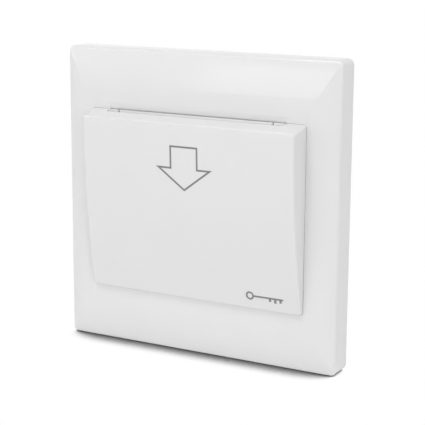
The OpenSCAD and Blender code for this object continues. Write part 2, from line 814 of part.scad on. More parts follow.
// The ribs and the crossbar follow the inside of the cover, and the lip stands in the notch
module card_guide() color("whitesmoke") {
  intersection() {
    cover_form(cover_wall + guide_play);
    union() {
      for (s = SIDES)
        translate([s * (guide_half - guide_t / 2), 0, 0])
          block(SIDES * guide_t / 2, [face_top - guide_l, cover_h / 2], [lip_depth, face_depth]);
      block(SIDES * guide_half, [guide_bar_bottom, cover_h / 2], [lip_depth, notch_depth + guide_lap]);
    }
  }
  block(SIDES * (notch_half - lip_gap), [guide_bar_bottom, cover_h / 2], [lip_depth, lip_depth + lip_t]);
}

module mounting_base() color("gainsboro") {
  difference() {
    at_depth(0, base_t) rounded(2 * base_half, 2 * base_half, base_corner_r);
    block(SIDES * opening_w / 2, [-opening_bottom, opening_top], [-over, base_t + over]);
    at_depth(-over, seat_d)
      square(housing_size + 2 * seat_gap, center = true);
    at_depth(-over, base_t + over)
      for (s = SIDES) translate([s * screw_spacing / 2, 0]) long_hole(screw_slot_l, screw_slot_w);
    block(SIDES * window_half, [lever_window_bottom, swing_top], [-over, base_t + over]);
    for (s = SIDES, t = SIDES)
      rod(s * housing_fix_x, t * housing_fix_place, fix_r + fix_play, [-over, base_t + over]);
    for (s = SIDES, z = tray_fix_zs)
      rod(s * tray_fix_x, z, fix_r + fix_play, [pilot_floor, base_t + over]);
  }
  for (s = SIDES, z = tray_fix_zs)
    difference() {
      rod(s * tray_fix_x, z, boss_r, [base_t - sink, tray_back]);
      rod(s * tray_fix_x, z, fix_r + fix_play, [pilot_floor, tray_back + over]);
    }
  difference() {
    for (s = SIDES)
      mirror([s < 0 ? 1 : 0, 0, 0])
        block([window_half, ear_out], [pivot_z - ear_h / 2, pivot_z + ear_h / 2],
          [base_t - sink, pivot_depth + ear_h / 2]);
    rod_x(pivot_z, pivot_depth, pin_r + pin_seat_play, 2 * ear_out + 2 * over);
  }
  block(SIDES * (switch_l / 2), [switch_z - switch_t / 2 - shelf_t, switch_z - switch_t / 2],
    [switch_back, seat_d + sink]);
  for (s = SIDES)
    translate([s * peg_place, -peg_depth, switch_z - switch_t / 2 - sink])
      cylinder(r = peg_r, h = peg_l + sink);
}

module card_tray() color("gainsboro") {
  difference() {
    union() {
      block(SIDES * tray_half, [tray_bottom, tray_top], [tray_back, tray_front]);
      block(SIDES * tongue_half, [tray_top - sink, cover_h / 2], [tray_back, tray_front]);
      for (s = SIDES)
        mirror([s < 0 ? 1 : 0, 0, 0]) {
          block([rail_in, rail_in + rail_t], [card_stop, rail_top],
            [tray_front - sink, tray_front + rail_h]);
          block([window_half + rail_t, stop_half], [card_stop - rail_t, card_stop],
            [tray_front - sink, tray_front + rail_h]);
        }
    }
    for (s = SIDES)
      rod(s * screw_spacing / 2, 0, screw_room_r, [tray_back - over, tray_front + rail_h + over]);
    block(SIDES * window_half, [nose_window_bottom, swing_top], [tray_back - over, tray_front + over]);
    for (s = SIDES, z = tray_fix_zs) {
      rod(s * tray_fix_x, z, fix_r + fix_play, [tray_back - over, tray_front + over]);
      rod(s * tray_fix_x, z, fix_head_r + fix_play, [head_seat, tray_front + rail_h + over]);
    }
    for (s = SIDES)
      rod(s * led_place, led_z, led_r + led_gap, [tray_back - over, tray_front + over]);
  }
  for (s = SIDES, z = stake_zs) {
    rod(s * stake_x, z, stake_r + stake_shoulder, [reader_front, tray_back + sink]);
    rod(s * stake_x, z, stake_r, [reader_back - stake_end, reader_front + sink]);
  }
}

module tray_screws() color("silver") {
  for (s = SIDES, z = tray_fix_zs)
    fixing_screw(s * tray_fix_x, z, head_seat, head_seat - pilot_floor - tip_room);
}

module reader_board() color("seagreen") {
  difference() {
    block(SIDES * reader_half, [-reader_bottom, reader_top], [reader_back, reader_front]);
    for (s = SIDES, z = stake_zs)
      rod(s * stake_x, z, stake_r + stake_play, [reader_back - over, reader_front + over]);
    link_holes([reader_back - over, reader_front + over]);
  }
}

module link_holes(d) {
  hole = link_pin_side / 2 + link_play;
  for (x = [-(link_pins_n - 1) / 2:(link_pins_n - 1) / 2])
    translate([x * link_pitch, 0, link_z]) block(SIDES * hole, SIDES * hole, d);
}

// A square spiral track printed on the front of the reader board
module antenna_coil() color("peru") {
  step = antenna_track + antenna_space;
  for (k = [0:antenna_turns - 1]) {
    w = antenna_half_w - k * step;
    h = antenna_half_h - k * step;
    translate([0, 0, reader_mid]) {
      antenna_bar([-w, w], [h - antenna_track, h]);
      antenna_bar([w - antenna_track, w], [-h, h]);
      antenna_bar([-w + step, w], [-h, -h + antenna_track]);
      if (k < antenna_turns - 1)
        antenna_bar([-w + step, -w + step + antenna_track], [-h, h - step]);
    }
  }
}

module antenna_bar(x, z) {
  block(x, z, [reader_front, reader_front + antenna_t]);
}

module reader_chip() color("dimgray") {
  translate([0, 0, reader_mid]) {
    block(SIDES * chip_side / 2, SIDES * chip_side / 2, [reader_back - chip_t, reader_back - chip_lift]);
    for (quarter = [0:3], k = [0:chip_leads - 1])
      rotate([0, 90 * quarter, 0])
        translate([0, 0, (k - (chip_leads - 1) / 2) * chip_side / (chip_leads + 1)])
          block([chip_side / 2 - sink, chip_side / 2 + chip_lead_l], SIDES * chip_lead_w / 2,
            [reader_back - chip_lead_t, reader_back]);
  }
}

module indicator_lights() color("lightblue") {
  for (s = SIDES)
    rod(s * led_place, led_z, led_r, [reader_front, tray_front - led_gap]);
}

module link_strip() color("dimgray") {
  difference() {
    block(SIDES * link_half, [link_z - link_strip_w / 2, link_z + link_strip_w / 2],
      [reader_back - link_strip_d, reader_back]);
    link_holes([reader_back - link_strip_d - over, reader_back + over]);
  }
}

module link_pins() color("gold") {
  for (x = [-(link_pins_n - 1) / 2:(link_pins_n - 1) / 2])
    translate([x * link_pitch, 0, link_z])
      block(SIDES * link_pin_side / 2, SIDES * link_pin_side / 2,
        [power_rear - pin_tail, reader_front + pin_head]);
}

module card_lever() color("white") {
  difference() {
    union() {
      rod_x(pivot_z, pivot_depth, hub_r, lever_w);
      along_x(lever_w) polygon([
        [pivot_z - tail_l, arm_back],
        [nose_top, arm_back],
        [nose_top, arm_front],
        [nose_z + nose_tip_h / 2, nose_depth],
        [nose_z - nose_tip_h / 2, nose_depth],
        [nose_z - nose_root_h / 2, arm_front],
        [pivot_z, arm_front],
        [pivot_z, arm_back + tail_t],
        [pivot_z - tail_l, arm_back + tail_t]
      ]);
    }
    rod_x(pivot_z, pivot_depth, pin_r + pin_play, lever_w + 2 * over);
  }
}

module lever_pin() color("silver") rod_x(pivot_z, pivot_depth, pin_r, 2 * ear_out);

// One coiled wire between the lever's tail and the back of the tray
module lever_spring() color("silver") {
  seat = arm_back + tail_t + spring_wire_r + spring_gap;
  reach = tray_back - spring_wire_r - spring_gap - seat;
  steps = round(16 * spring_turns);
  ring = 8;
  points = [
    for (i = [0:steps], k = [0:ring - 1])
      let (turn = 360 * spring_turns * i / steps, side = 360 * k / ring)
        let (r = spring_r + spring_wire_r * cos(side), rise = reach * i / steps + spring_wire_r * sin(side))
          [r * cos(turn), -(seat + rise), r * sin(turn)]
  ];
  sides = [
    for (i = [0:steps - 1], k = [0:ring - 1])
      let (a = i * ring + k, b = i * ring + (k + 1) % ring)
        each [[a, a + ring, b], [b, a + ring, b + ring]]
  ];
  ends = [
    for (k = [1:ring - 2])
      each [[0, k, k + 1], [steps * ring, steps * ring + k + 1, steps * ring + k]]
  ];
  translate([0, 0, pivot_z - tail_l + spring_inset + spring_r + spring_wire_r])
    polyhedron(points, concat(sides, ends));
}

module switch_body() color("black") {
  difference() {
    block(SIDES * switch_l / 2, [switch_z - switch_t / 2, switch_z + switch_t / 2], [switch_back, seat_d]);
    rod(0, switch_z, plunger_r + plunger_play, [plunger_foot - plunger_travel, seat_d + over]);
    for (s = SIDES)
      translate([s * peg_place, -peg_depth, switch_z - switch_t / 2 - over])
        cylinder(r = peg_r + peg_play, h = switch_t + 2 * over);
  }
}

module switch_plunger() color("red") rod(0, switch_z, plunger_r, [plunger_foot, plunger_tip]);

module switch_blades(room, d) {
  for (i = [-1:1])
    translate([i * blade_pitch, 0, switch_z])
      block(SIDES * (tab_w / 2 + room), SIDES * (tab_t / 2 + room), d);
}

module switch_terminals() color("silver") switch_blades(0, [power_rear - pin_tail, switch_back]);

module rear_housing() color("gainsboro") {
  difference() {
    at_depth(-housing_d, seat_d) rounded(housing_size, housing_size, housing_corner_r);
    at_depth(floor_depth, seat_d + over)
      rounded(2 * housing_in, 2 * housing_in, housing_corner_r - housing_wall);
    block(SIDES * (block_half + power_gap), [-housing_half - over, block_top + power_gap],
      [-housing_d - over, power_rear + power_gap]);
    for (s = SIDES, i = [0:vents - 1])
      mirror([s < 0 ? 1 : 0, 0, 0])
        translate([0, 0, (i - (vents - 1) / 2) * vent_pitch])
          block([housing_in - over, housing_half + over], SIDES * vent_w / 2,
            [floor_depth + vent_inset, floor_depth + vent_inset + vent_l]);
  }
  for (s = SIDES, t = SIDES) {
    difference() {
      rod(s * power_fix, t * power_fix, post_r, [floor_depth - sink, power_rear]);
      rod(s * power_fix, t * power_fix, fix_r + fix_play,
        [power_front - fix_l - tip_room, power_rear + over]);
    }
    difference() {
      rod(s * housing_fix_x, t * housing_fix_place, boss_r, [base_t - fix_l - over, seat_d]);
      rod(s * housing_fix_x, t * housing_fix_place, fix_r + fix_play,
        [base_t - fix_l - tip_room, seat_d + over]);
    }
  }
}

module housing_screws() color("silver") {
  for (s = SIDES, t = SIDES)
    fixing_screw(s * housing_fix_x, t * housing_fix_place, base_t, fix_l);
}

module power_board() color("seagreen") {
  difference() {
    block(SIDES * power_half, SIDES * power_half, [power_rear, power_front]);
    for (s = SIDES, t = SIDES)
      rod(s * power_fix, t * power_fix, fix_r + fix_play, [power_rear - over, power_front + over]);
    link_holes([power_rear - over, power_front + over]);
    switch_blades(link_play, [power_rear - over, power_front + over]);
  }
}

module board_screws() color("silver") {
  for (s = SIDES, t = SIDES)
    fixing_screw(s * power_fix, t * power_fix, power_front, fix_l);
}

module at_relay() {
  translate([relay_x, 0, relay_z]) children();
}

module relay_base() color("black") at_relay()
  block(SIDES * relay_l / 2, SIDES * relay_w / 2, [power_rear - relay_base_t, power_rear]);

module relay_cover() color("royalblue") at_relay() difference() {
  block(SIDES * relay_l / 2, SIDES * relay_w / 2, [power_rear - relay_h, power_rear - relay_base_t]);
  block(SIDES * (relay_l / 2 - relay_wall), SIDES * (relay_w / 2 - relay_wall),
    [power_rear - relay_h + relay_wall, power_rear]);
}

module relay_yoke() color("silver") at_relay() {
  foot = power_rear - relay_base_t;
  block([yoke_x, yoke_x + yoke_t], SIDES * yoke_w / 2, [yoke_top, foot]);
  block([yoke_x, pole_r], SIDES * yoke_w / 2, [foot - yoke_t, foot]);
  rod(0, 0, core_r, [pole_face + pole_t - sink, foot - yoke_t + sink]);
  rod(0, 0, pole_r, [pole_face, pole_face + pole_t]);
}

module relay_coil() color("sienna") at_relay() difference() {
  foot = power_rear - relay_base_t - yoke_t;
  rod(0, 0, coil_r, [pole_face + pole_t + coil_play, foot - coil_play]);
  rod(0, 0, core_r + coil_play, [pole_face - over, foot + over]);
}

module relay_armature() color("silver") at_relay() {
  block([yoke_x, pole_r + armature_lap], SIDES * (yoke_w / 2 - armature_inset),
    [armature_bottom - armature_t, armature_bottom]);
  block([pole_r, contact_x + contact_r], SIDES * blade_w / 2, [armature_bottom - blade_t, armature_bottom]);
  rod(contact_x, 0, contact_r, [armature_bottom - blade_t / 2, contact_rest]);
}

module relay_contact() color("goldenrod") at_relay() {
  post = relay_l / 2 - relay_wall - post_room;
  blade = contact_face + fixed_contact_h;
  rod(contact_x, 0, contact_r, [contact_face, blade + sink]);
  block([contact_x - contact_r, post], SIDES * blade_w / 2, [blade, blade + blade_t]);
  block([post - 2 * blade_t, post], SIDES * blade_w / 2, [blade, power_rear - relay_base_t]);
}

module at_core() {
  translate([core_x, 0, relay_z]) children();
}

module core_block(half_x, half_z, near, far) {
  block(SIDES * half_x, SIDES * half_z, [power_rear - far, power_rear - near]);
}

module transformer_core() color("dimgray") at_core() difference() {
  yoke = (core_w - core_leg) / 2 - core_window;
  core_block(core_w / 2, core_t / 2, 0, core_h);
  difference() {
    core_block(core_leg / 2 + core_window, core_t / 2 + over, yoke, core_h - yoke);
    core_block(core_leg / 2, core_t / 2 + 2 * over, 0, core_h);
  }
}

module transformer_winding() color("khaki") at_core() difference() {
  yoke = (core_w - core_leg) / 2 - core_window;
  near = yoke + winding_play;
  far = core_h - yoke - winding_play;
  core_block(core_leg / 2 + winding_play + winding_t, core_t / 2 + winding_play + winding_t, near, far);
  core_block(core_leg / 2 + winding_play, core_t / 2 + winding_play, 0, core_h);
}

// A can with the rolled groove near its foot
module smoothing_capacitor() color("midnightblue")
  translate([bulk_x, -power_rear, bulk_z]) rotate([-90, 0, 0])
    rotate_extrude() polygon([
      [0, 0],
      [bulk_r, 0],
      [bulk_r, groove_place - groove_d],
      [bulk_r - groove_d, groove_place],
      [bulk_r, groove_place + groove_d],
      [bulk_r, bulk_h - groove_d],
      [bulk_r - groove_d, bulk_h],
      [0, bulk_h]
    ]);

module film_capacitor() color("goldenrod")
  translate([film_x, 0, film_z])
    block(SIDES * film_l / 2, SIDES * film_w / 2, [power_rear - film_h, power_rear]);

module surge_disc() color("steelblue") {
  translate([surge_x, 0, 0]) rod_x(surge_z, surge_depth, surge_r, surge_t);
  for (s = SIDES)
    rod(surge_x, surge_z + s * surge_r / 2, lead_r, [surge_depth, power_rear]);
}

module fuse_tube() color("lightcyan")
  rod_x(fuse_z, fuse_depth, fuse_r, fuse_l - 2 * fuse_cap_t);

module fuse_caps() color("silver") {
  for (s = SIDES)
    mirror([s < 0 ? 1 : 0, 0, 0]) {
      difference() {
        translate([(fuse_l - fuse_cap_l) / 2, 0, 0])
          rod_x(fuse_z, fuse_depth, fuse_r + fuse_cap_t, fuse_cap_l);
        rod_x(fuse_z, fuse_depth, fuse_r, fuse_l - 2 * fuse_cap_t);
      }
      rod((fuse_l - fuse_cap_l) / 2, fuse_z, lead_r,
        [fuse_depth + fuse_r + fuse_cap_t - sink, power_rear]);
    }
}

module rectifier() color("black")
  translate([bridge_x, 0, bridge_z])
    block(SIDES * bridge_w / 2, SIDES * bridge_h / 2, [power_rear - bridge_t, power_rear]);

module terminal_block() color("darkslategray") difference() {
  block(SIDES * block_half, [block_bottom, block_top], [power_rear - block_d, power_rear]);
  for (x = POLES)
    translate([x, 0, 0]) {
      block(SIDES * (cage_half + cage_gap), SIDES * (cage_h / 2 + cage_gap) + [cage_z, cage_z],
        [cage_back - cage_gap, cage_front + cage_gap]);
      block(SIDES * entry_side / 2, [block_bottom - over, cage_z], [cage_inside - entry_side, cage_inside]);
      rod(0, cage_z, clamp_head_r + clamp_gap, [power_rear - block_d - over, cage_back]);
    }
}

module clamp_cages() color("goldenrod") {
  for (x = POLES)
    translate([x, 0, cage_z]) difference() {
      block(SIDES * cage_half, SIDES * cage_h / 2, [cage_back, cage_front]);
      block(SIDES * entry_side / 2, SIDES * (cage_h / 2 + over), [cage_bar_front, cage_inside]);
      rod(0, 0, clamp_r + fix_play, [cage_back - over, cage_bar_front + over]);
    }
}

module clamp_screws() color("silver") {
  for (x = POLES)
    difference() {
      union() {
        rod(x, cage_z, clamp_head_r, [clamp_head - clamp_head_h, clamp_head]);
        rod(x, cage_z, clamp_r, [clamp_head - sink, cage_bar_front + clamp_reach]);
      }
      translate([x, 0, cage_z])
        block(SIDES * (clamp_head_r + over), SIDES * fix_recess_w / 2,
          [clamp_head - clamp_head_h - over, clamp_head - clamp_head_h + fix_recess_d]);
    }
}

front_frame();
card_cover();
card_guide();
mounting_base();
card_tray();
tray_screws();
reader_board();
antenna_coil();
reader_chip();
indicator_lights();
link_strip();
link_pins();
card_lever();
lever_pin();
lever_spring();
switch_body();
switch_plunger();
switch_terminals();
rear_housing();
housing_screws();
power_board();
board_screws();
relay_base();
relay_cover();
relay_coil();
relay_yoke();
relay_armature();
relay_contact();
transformer_core();
transformer_winding();
smoothing_capacitor();
film_capacitor();
surge_disc();
fuse_tube();
fuse_caps();
rectifier();
terminal_block();
clamp_cages();
clamp_screws();
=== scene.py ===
import json
import math

import bmesh
import bpy
from mathutils import Matrix, Vector


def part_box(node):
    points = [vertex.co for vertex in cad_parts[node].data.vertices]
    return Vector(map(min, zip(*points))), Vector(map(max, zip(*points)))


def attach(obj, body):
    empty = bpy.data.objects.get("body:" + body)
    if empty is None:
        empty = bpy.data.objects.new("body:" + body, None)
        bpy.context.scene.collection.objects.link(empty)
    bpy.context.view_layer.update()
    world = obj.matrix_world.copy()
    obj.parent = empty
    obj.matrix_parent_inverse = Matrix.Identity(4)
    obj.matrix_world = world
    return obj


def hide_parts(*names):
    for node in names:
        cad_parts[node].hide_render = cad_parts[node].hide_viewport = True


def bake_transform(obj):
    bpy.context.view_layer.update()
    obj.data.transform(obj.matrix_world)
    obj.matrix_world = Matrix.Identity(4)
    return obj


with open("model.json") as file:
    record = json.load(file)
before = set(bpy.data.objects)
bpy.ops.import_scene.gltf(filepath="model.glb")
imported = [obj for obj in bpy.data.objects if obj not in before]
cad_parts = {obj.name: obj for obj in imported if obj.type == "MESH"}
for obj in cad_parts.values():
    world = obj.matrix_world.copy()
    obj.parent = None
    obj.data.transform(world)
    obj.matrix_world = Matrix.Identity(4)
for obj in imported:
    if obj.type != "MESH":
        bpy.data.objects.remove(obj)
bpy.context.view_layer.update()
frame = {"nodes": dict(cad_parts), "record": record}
NODES = frame["nodes"]
SLOT_OF = {part["node"]: part["material_slot"] for part in frame["record"]["subparts"]}
BODY_OF = {node: body for body, nodes in frame["record"]["behaviour"]["bodies"].items() for node in nodes}

MM = 0.001
MICRON = 0.000001
SIDES = (-1, 1)
MERGE_DISTANCE = 1e-7
SHARP_ANGLE = math.radians(32)
ROUND_ANGLE = math.radians(60)
BEVEL_ANGLE = math.radians(35)
FLAT_ANGLE = math.radians(0.05)
BLOCK_QUADS = ((0, 1, 3, 2), (4, 6, 7, 5), (0, 4, 5, 1), (2, 3, 7, 6), (0, 2, 6, 4), (1, 5, 7, 3))


# Mesh helpers: points are in millimetres as (x, depth, z), where the depth runs out of the wall

def to_frame(point):
    x, depth, z = point
    return Vector((x * MM, -depth * MM, z * MM))


def mark_sharp(bm, angle):
    for face in bm.faces:
        face.smooth = True
    for edge in bm.edges:
        is_rim = len(edge.link_faces) != 2
        edge.smooth = not is_rim and edge.calc_face_angle(0) < angle


def new_object(name, bm, angle=SHARP_ANGLE):
    bmesh.ops.recalc_face_normals(bm, faces=bm.faces)
    mark_sharp(bm, angle)
    mesh = bpy.data.meshes.new(name)
    bm.to_mesh(mesh)
    bm.free()
    made = bpy.data.objects.new(name, mesh)
    bpy.context.scene.collection.objects.link(made)
    return made


def join_loops(bm, low, high):
    for i in range(len(low)):
        j = (i + 1) % len(low)
        bm.faces.new((low[i], low[j], high[j], high[i]))


def close_prism(bm, ends):
    first, second = ends
    bm.faces.new(first)
    bm.faces.new(second[::-1])
    for i in range(len(first)):
        j = (i + 1) % len(first)
        bm.faces.new((first[i], second[i], second[j], first[j]))


def loft(rings, capped):
    bm = bmesh.new()
    rows = [[bm.verts.new(to_frame(point)) for point in ring] for ring in rings]
    for low, high in zip(rows, rows[1:]):
        join_loops(bm, low, high)
    if not capped:
        join_loops(bm, rows[-1], rows[0])
    return bm, rows


def block_mesh(x, depth, z):
    bm = bmesh.new()
    corners = [bm.verts.new(to_frame((a, b, c))) for a in x for b in depth for c in z]
    for quad in BLOCK_QUADS:
        bm.faces.new([corners[i] for i in quad])
    return bm


def prism_mesh(x, outline):
    bm = bmesh.new()
    ends = [[bm.verts.new(to_frame((side, depth, z))) for z, depth in outline] for side in x]
    close_prism(bm, ends)
    return bm


def apply_modifiers(piece):
    graph = bpy.context.evaluated_depsgraph_get()
    result = bpy.data.meshes.new_from_object(piece.evaluated_get(graph))
    piece.modifiers.clear()
    piece.data = result


def cut(target, tools, operation):
    for tool in tools:
        step = target.modifiers.new("cut", "BOOLEAN")
        step.operation = operation
        step.solver = "EXACT"
        step.object = tool
    apply_modifiers(target)
    for tool in tools:
        bpy.data.objects.remove(tool)


def finish_mesh(target):
    bm = bmesh.new()
    bm.from_mesh(target.data)
    bmesh.ops.remove_doubles(bm, verts=bm.verts, dist=MERGE_DISTANCE)
    bmesh.ops.dissolve_limit(bm, angle_limit=FLAT_ANGLE, verts=bm.verts, edges=bm.edges)
    bmesh.ops.recalc_face_normals(bm, faces=bm.faces)
    mark_sharp(bm, SHARP_ANGLE)
    bm.to_mesh(target.data)
    bm.free()


def node_mesh(node):
    bm = bmesh.new()
    bm.from_mesh(NODES[node].data)
    bmesh.ops.remove_doubles(bm, verts=bm.verts, dist=MERGE_DISTANCE)
    return bm


def paint(piece, material):
    piece.data.materials.clear()
    piece.data.materials.append(material)


def dress(piece, material, body, slot, *nodes):
    paint(piece, material)
    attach(piece, body)
    if nodes:
        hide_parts(*nodes)


# Materials

RAMP_LOW = 0.3
RAMP_HIGH = 0.7
NOISE_DETAIL = 3.0
WAVE_DISTORTION = 0.6
WAVE_DETAIL_SCALE = 3.0
METAL_CLOUD = 500
METAL_STREAK = 900
METAL_GRAIN = 4 * MICRON
CLEAR_CLOUD = 400
CLEAR_GRAIN = 1500
CLEAR_GRAIN_DEPTH = 2 * MICRON
TRACK_ACROSS = 330
TRACK_ALONG = 90
TRACK_CLOUD = 160
TRACK_DETAIL = 1.0
WEAVE = 700
BOARD_ROUGH = (0.28, 0.4)
BOARD_GRAIN = 12 * MICRON
WOUND_CLOUD = 700
WOUND_DEPTH = 20 * MICRON
SLEEVE_CLOUD = 300
SLEEVE_GRAIN = 1800
SLEEVE_GRAIN_DEPTH = 6 * MICRON
SLEEVE_ROUGH = (0.22, 0.34)
STRIPE_EDGE = -0.0068
STRIPE_BLUR = 0.0001
# The mix node's sockets for colours, which share their names with those for other types
MIX_FIRST = 6
MIX_SECOND = 7
MIX_RESULT = 2


def shader(name):
    material = bpy.data.materials.new(name)
    material.use_nodes = True
    tree = material.node_tree
    bsdf = tree.nodes["Principled BSDF"]
    place = tree.nodes.new("ShaderNodeTexCoord").outputs["Object"]
    return material, tree, bsdf, place


def maths(tree, operation, first, second):
    node = tree.nodes.new("ShaderNodeMath")
    node.operation = operation
    for socket, value in zip(node.inputs, (first, second)):
        if isinstance(value, float):
            socket.default_value = value
        else:
            tree.links.new(value, socket)
    return node.outputs[0]


def noise(tree, place, scale, detail=NOISE_DETAIL):
    node = tree.nodes.new("ShaderNodeTexNoise")
    node.inputs["Scale"].default_value = scale
    node.inputs["Detail"].default_value = detail
    tree.links.new(place, node.inputs["Vector"])
    return node.outputs["Fac"]


def wave(tree, place, scale, axis):
    node = tree.nodes.new("ShaderNodeTexWave")
    node.bands_direction = axis
    node.inputs["Scale"].default_value = scale
    node.inputs["Distortion"].default_value = WAVE_DISTORTION
    node.inputs["Detail Scale"].default_value = WAVE_DETAIL_SCALE
    tree.links.new(place, node.inputs["Vector"])
    return node.outputs["Fac"]


def stretched(tree, place, scale):
    node = tree.nodes.new("ShaderNodeMapping")
    node.inputs["Scale"].default_value = scale
    tree.links.new(place, node.inputs["Vector"])
    return node.outputs["Vector"]


def blend_colours(tree, factor, low, high):
    ramp = tree.nodes.new("ShaderNodeValToRGB")
    ramp.color_ramp.elements[0].position = RAMP_LOW
    ramp.color_ramp.elements[0].color = (*low, 1)
    ramp.color_ramp.elements[1].position = RAMP_HIGH
    ramp.color_ramp.elements[1].color = (*high, 1)
    tree.links.new(factor, ramp.inputs["Fac"])
    return ramp.outputs["Color"]


def map_range(tree, value, from_low, from_high, to_low=0.0, to_high=1.0):
    node = tree.nodes.new("ShaderNodeMapRange")
    node.inputs["From Min"].default_value = from_low
    node.inputs["From Max"].default_value = from_high
    node.inputs["To Min"].default_value = to_low
    node.inputs["To Max"].default_value = to_high
    tree.links.new(value, node.inputs["Value"])
    return node


def set_colour(tree, bsdf, factor, low, high):
    tree.links.new(blend_colours(tree, factor, low, high), bsdf.inputs["Base Color"])


def set_roughness(tree, bsdf, factor, rough):
    ranged = map_range(tree, factor, RAMP_LOW, RAMP_HIGH, *rough)
    tree.links.new(ranged.outputs["Result"], bsdf.inputs["Roughness"])


def set_bump(tree, bsdf, height, depth):
    node = tree.nodes.new("ShaderNodeBump")
    node.inputs["Strength"].default_value = 1.0
    node.inputs["Distance"].default_value = depth
    tree.links.new(height, node.inputs["Height"])
    tree.links.new(node.outputs["Normal"], bsdf.inputs["Normal"])


def grey(value):
    return (value, value, value)


def surface(name, low, high, rough, scale, grain, grain_depth):
    material, tree, bsdf, place = shader(name)
    cloud = noise(tree, place, scale)
    set_colour(tree, bsdf, cloud, low, high)
    set_roughness(tree, bsdf, cloud, rough)
    set_bump(tree, bsdf, noise(tree, place, grain), grain_depth)
    return material


def metal(name, low, high, rough, streaks):
    material, tree, bsdf, place = shader(name)
    lines = noise(tree, stretched(tree, place, streaks), METAL_STREAK)
    set_colour(tree, bsdf, noise(tree, place, METAL_CLOUD), low, high)
    set_roughness(tree, bsdf, lines, rough)
    bsdf.inputs["Metallic"].default_value = 1.0
    set_bump(tree, bsdf, lines, METAL_GRAIN)
    return material


def clear(name, low, high, rough, index, share):
    material = surface(name, low, high, rough, CLEAR_CLOUD, CLEAR_GRAIN, CLEAR_GRAIN_DEPTH)
    bsdf = material.node_tree.nodes["Principled BSDF"]
    bsdf.inputs["Transmission Weight"].default_value = share
    bsdf.inputs["IOR"].default_value = index
    return material


def circuit_board(name, low, high):
    material, tree, bsdf, place = shader(name)
    across = wave(tree, place, TRACK_ACROSS, "X")
    along = wave(tree, place, TRACK_ALONG, "Z")
    tracks = maths(tree, "MULTIPLY", across, along)
    tracks = maths(tree, "MULTIPLY", tracks, noise(tree, place, TRACK_CLOUD, TRACK_DETAIL))
    weave = maths(tree, "ADD", wave(tree, place, WEAVE, "X"), wave(tree, place, WEAVE, "Z"))
    set_colour(tree, bsdf, tracks, low, high)
    set_roughness(tree, bsdf, tracks, BOARD_ROUGH)
    set_bump(tree, bsdf, maths(tree, "ADD", weave, tracks), BOARD_GRAIN)
    return material


def wound(name, low, high, rough, pitch_scale, metallic):
    material, tree, bsdf, place = shader(name)
    turns = wave(tree, place, pitch_scale, "Y")
    cloud = noise(tree, place, WOUND_CLOUD)
    mixed = maths(tree, "ADD", maths(tree, "MULTIPLY", turns, cloud), cloud)
    set_colour(tree, bsdf, mixed, low, high)
    set_roughness(tree, bsdf, cloud, rough)
    bsdf.inputs["Metallic"].default_value = metallic
    set_bump(tree, bsdf, turns, WOUND_DEPTH)
    return material


def sleeve(name, low, high, stripe):
    material, tree, bsdf, place = shader(name)
    axes = tree.nodes.new("ShaderNodeSeparateXYZ")
    tree.links.new(place, axes.inputs[0])
    beyond = map_range(tree, axes.outputs["X"], STRIPE_EDGE, STRIPE_EDGE + STRIPE_BLUR)
    cloud = noise(tree, place, SLEEVE_CLOUD)
    mix = tree.nodes.new("ShaderNodeMix")
    mix.data_type = "RGBA"
    tree.links.new(beyond.outputs["Result"], mix.inputs["Factor"])
    tree.links.new(blend_colours(tree, cloud, low, high), mix.inputs[MIX_FIRST])
    tree.links.new(blend_colours(tree, cloud, stripe, high), mix.inputs[MIX_SECOND])
    tree.links.new(mix.outputs[MIX_RESULT], bsdf.inputs["Base Color"])
    set_roughness(tree, bsdf, cloud, SLEEVE_ROUGH)
    set_bump(tree, bsdf, noise(tree, place, SLEEVE_GRAIN), SLEEVE_GRAIN_DEPTH)
    return material


# Each surface: two colours, the range of roughness, the scales of cloud and grain, the grain's depth
SURFACES = {
    "front_plastic": (grey(0.775), grey(0.785), (0.09, 0.11), 60, 700, 4 * MICRON),
    "print_ink": (grey(0.20), grey(0.22), (0.4, 0.5), 300, 5000, 3 * MICRON),
    "base_plastic": ((0.61, 0.61, 0.60), (0.63, 0.63, 0.62), (0.38, 0.5), 90, 4200, 14 * MICRON),
    "tray_plastic": (grey(0.70), grey(0.73), (0.28, 0.38), 80, 3600, 10 * MICRON),
    "lever_plastic": ((0.72, 0.72, 0.70), (0.76, 0.76, 0.74), (0.3, 0.36), 200, 3000, 8 * MICRON),
    "black_plastic": (grey(0.026), grey(0.036), (0.34, 0.46), 300, 4000, 12 * MICRON),
    "red_plastic": ((0.55, 0.045, 0.035), (0.62, 0.06, 0.045), (0.28, 0.36), 500, 4000, 8 * MICRON),
    "terminal_plastic": ((0.066, 0.18, 0.105), (0.09, 0.215, 0.13), (0.36, 0.48), 160, 3800, 14 * MICRON),
    "relay_plastic": ((0.052, 0.145, 0.47), (0.066, 0.17, 0.52), (0.24, 0.34), 200, 2600, 10 * MICRON),
    "black_resin": (grey(0.030), grey(0.048), (0.45, 0.6), 900, 6000, 16 * MICRON),
    "film_resin": ((0.68, 0.41, 0.07), (0.75, 0.48, 0.095), (0.26, 0.36), 250, 2200, 10 * MICRON),
    "surge_resin": ((0.068, 0.17, 0.38), (0.09, 0.22, 0.45), (0.14, 0.24), 300, 900, 30 * MICRON),
    "ferrite": (grey(0.055), grey(0.085), (0.48, 0.64), 700, 6000, 18 * MICRON),
}
# Each metal: two colours, the range of roughness, the stretch of its streaks
METALS = {
    "gilt_brass": ((0.76, 0.56, 0.22), (0.84, 0.64, 0.29), (0.2, 0.32), (1, 6, 1)),
    "tinned_metal": (grey(0.66), grey(0.74), (0.28, 0.42), (1, 4, 1)),
    "bright_steel": ((0.63, 0.64, 0.66), (0.70, 0.70, 0.71), (0.18, 0.3), (6, 1, 1)),
    "zinc_steel": ((0.62, 0.64, 0.68), (0.73, 0.72, 0.69), (0.26, 0.4), (1, 1, 5)),
}
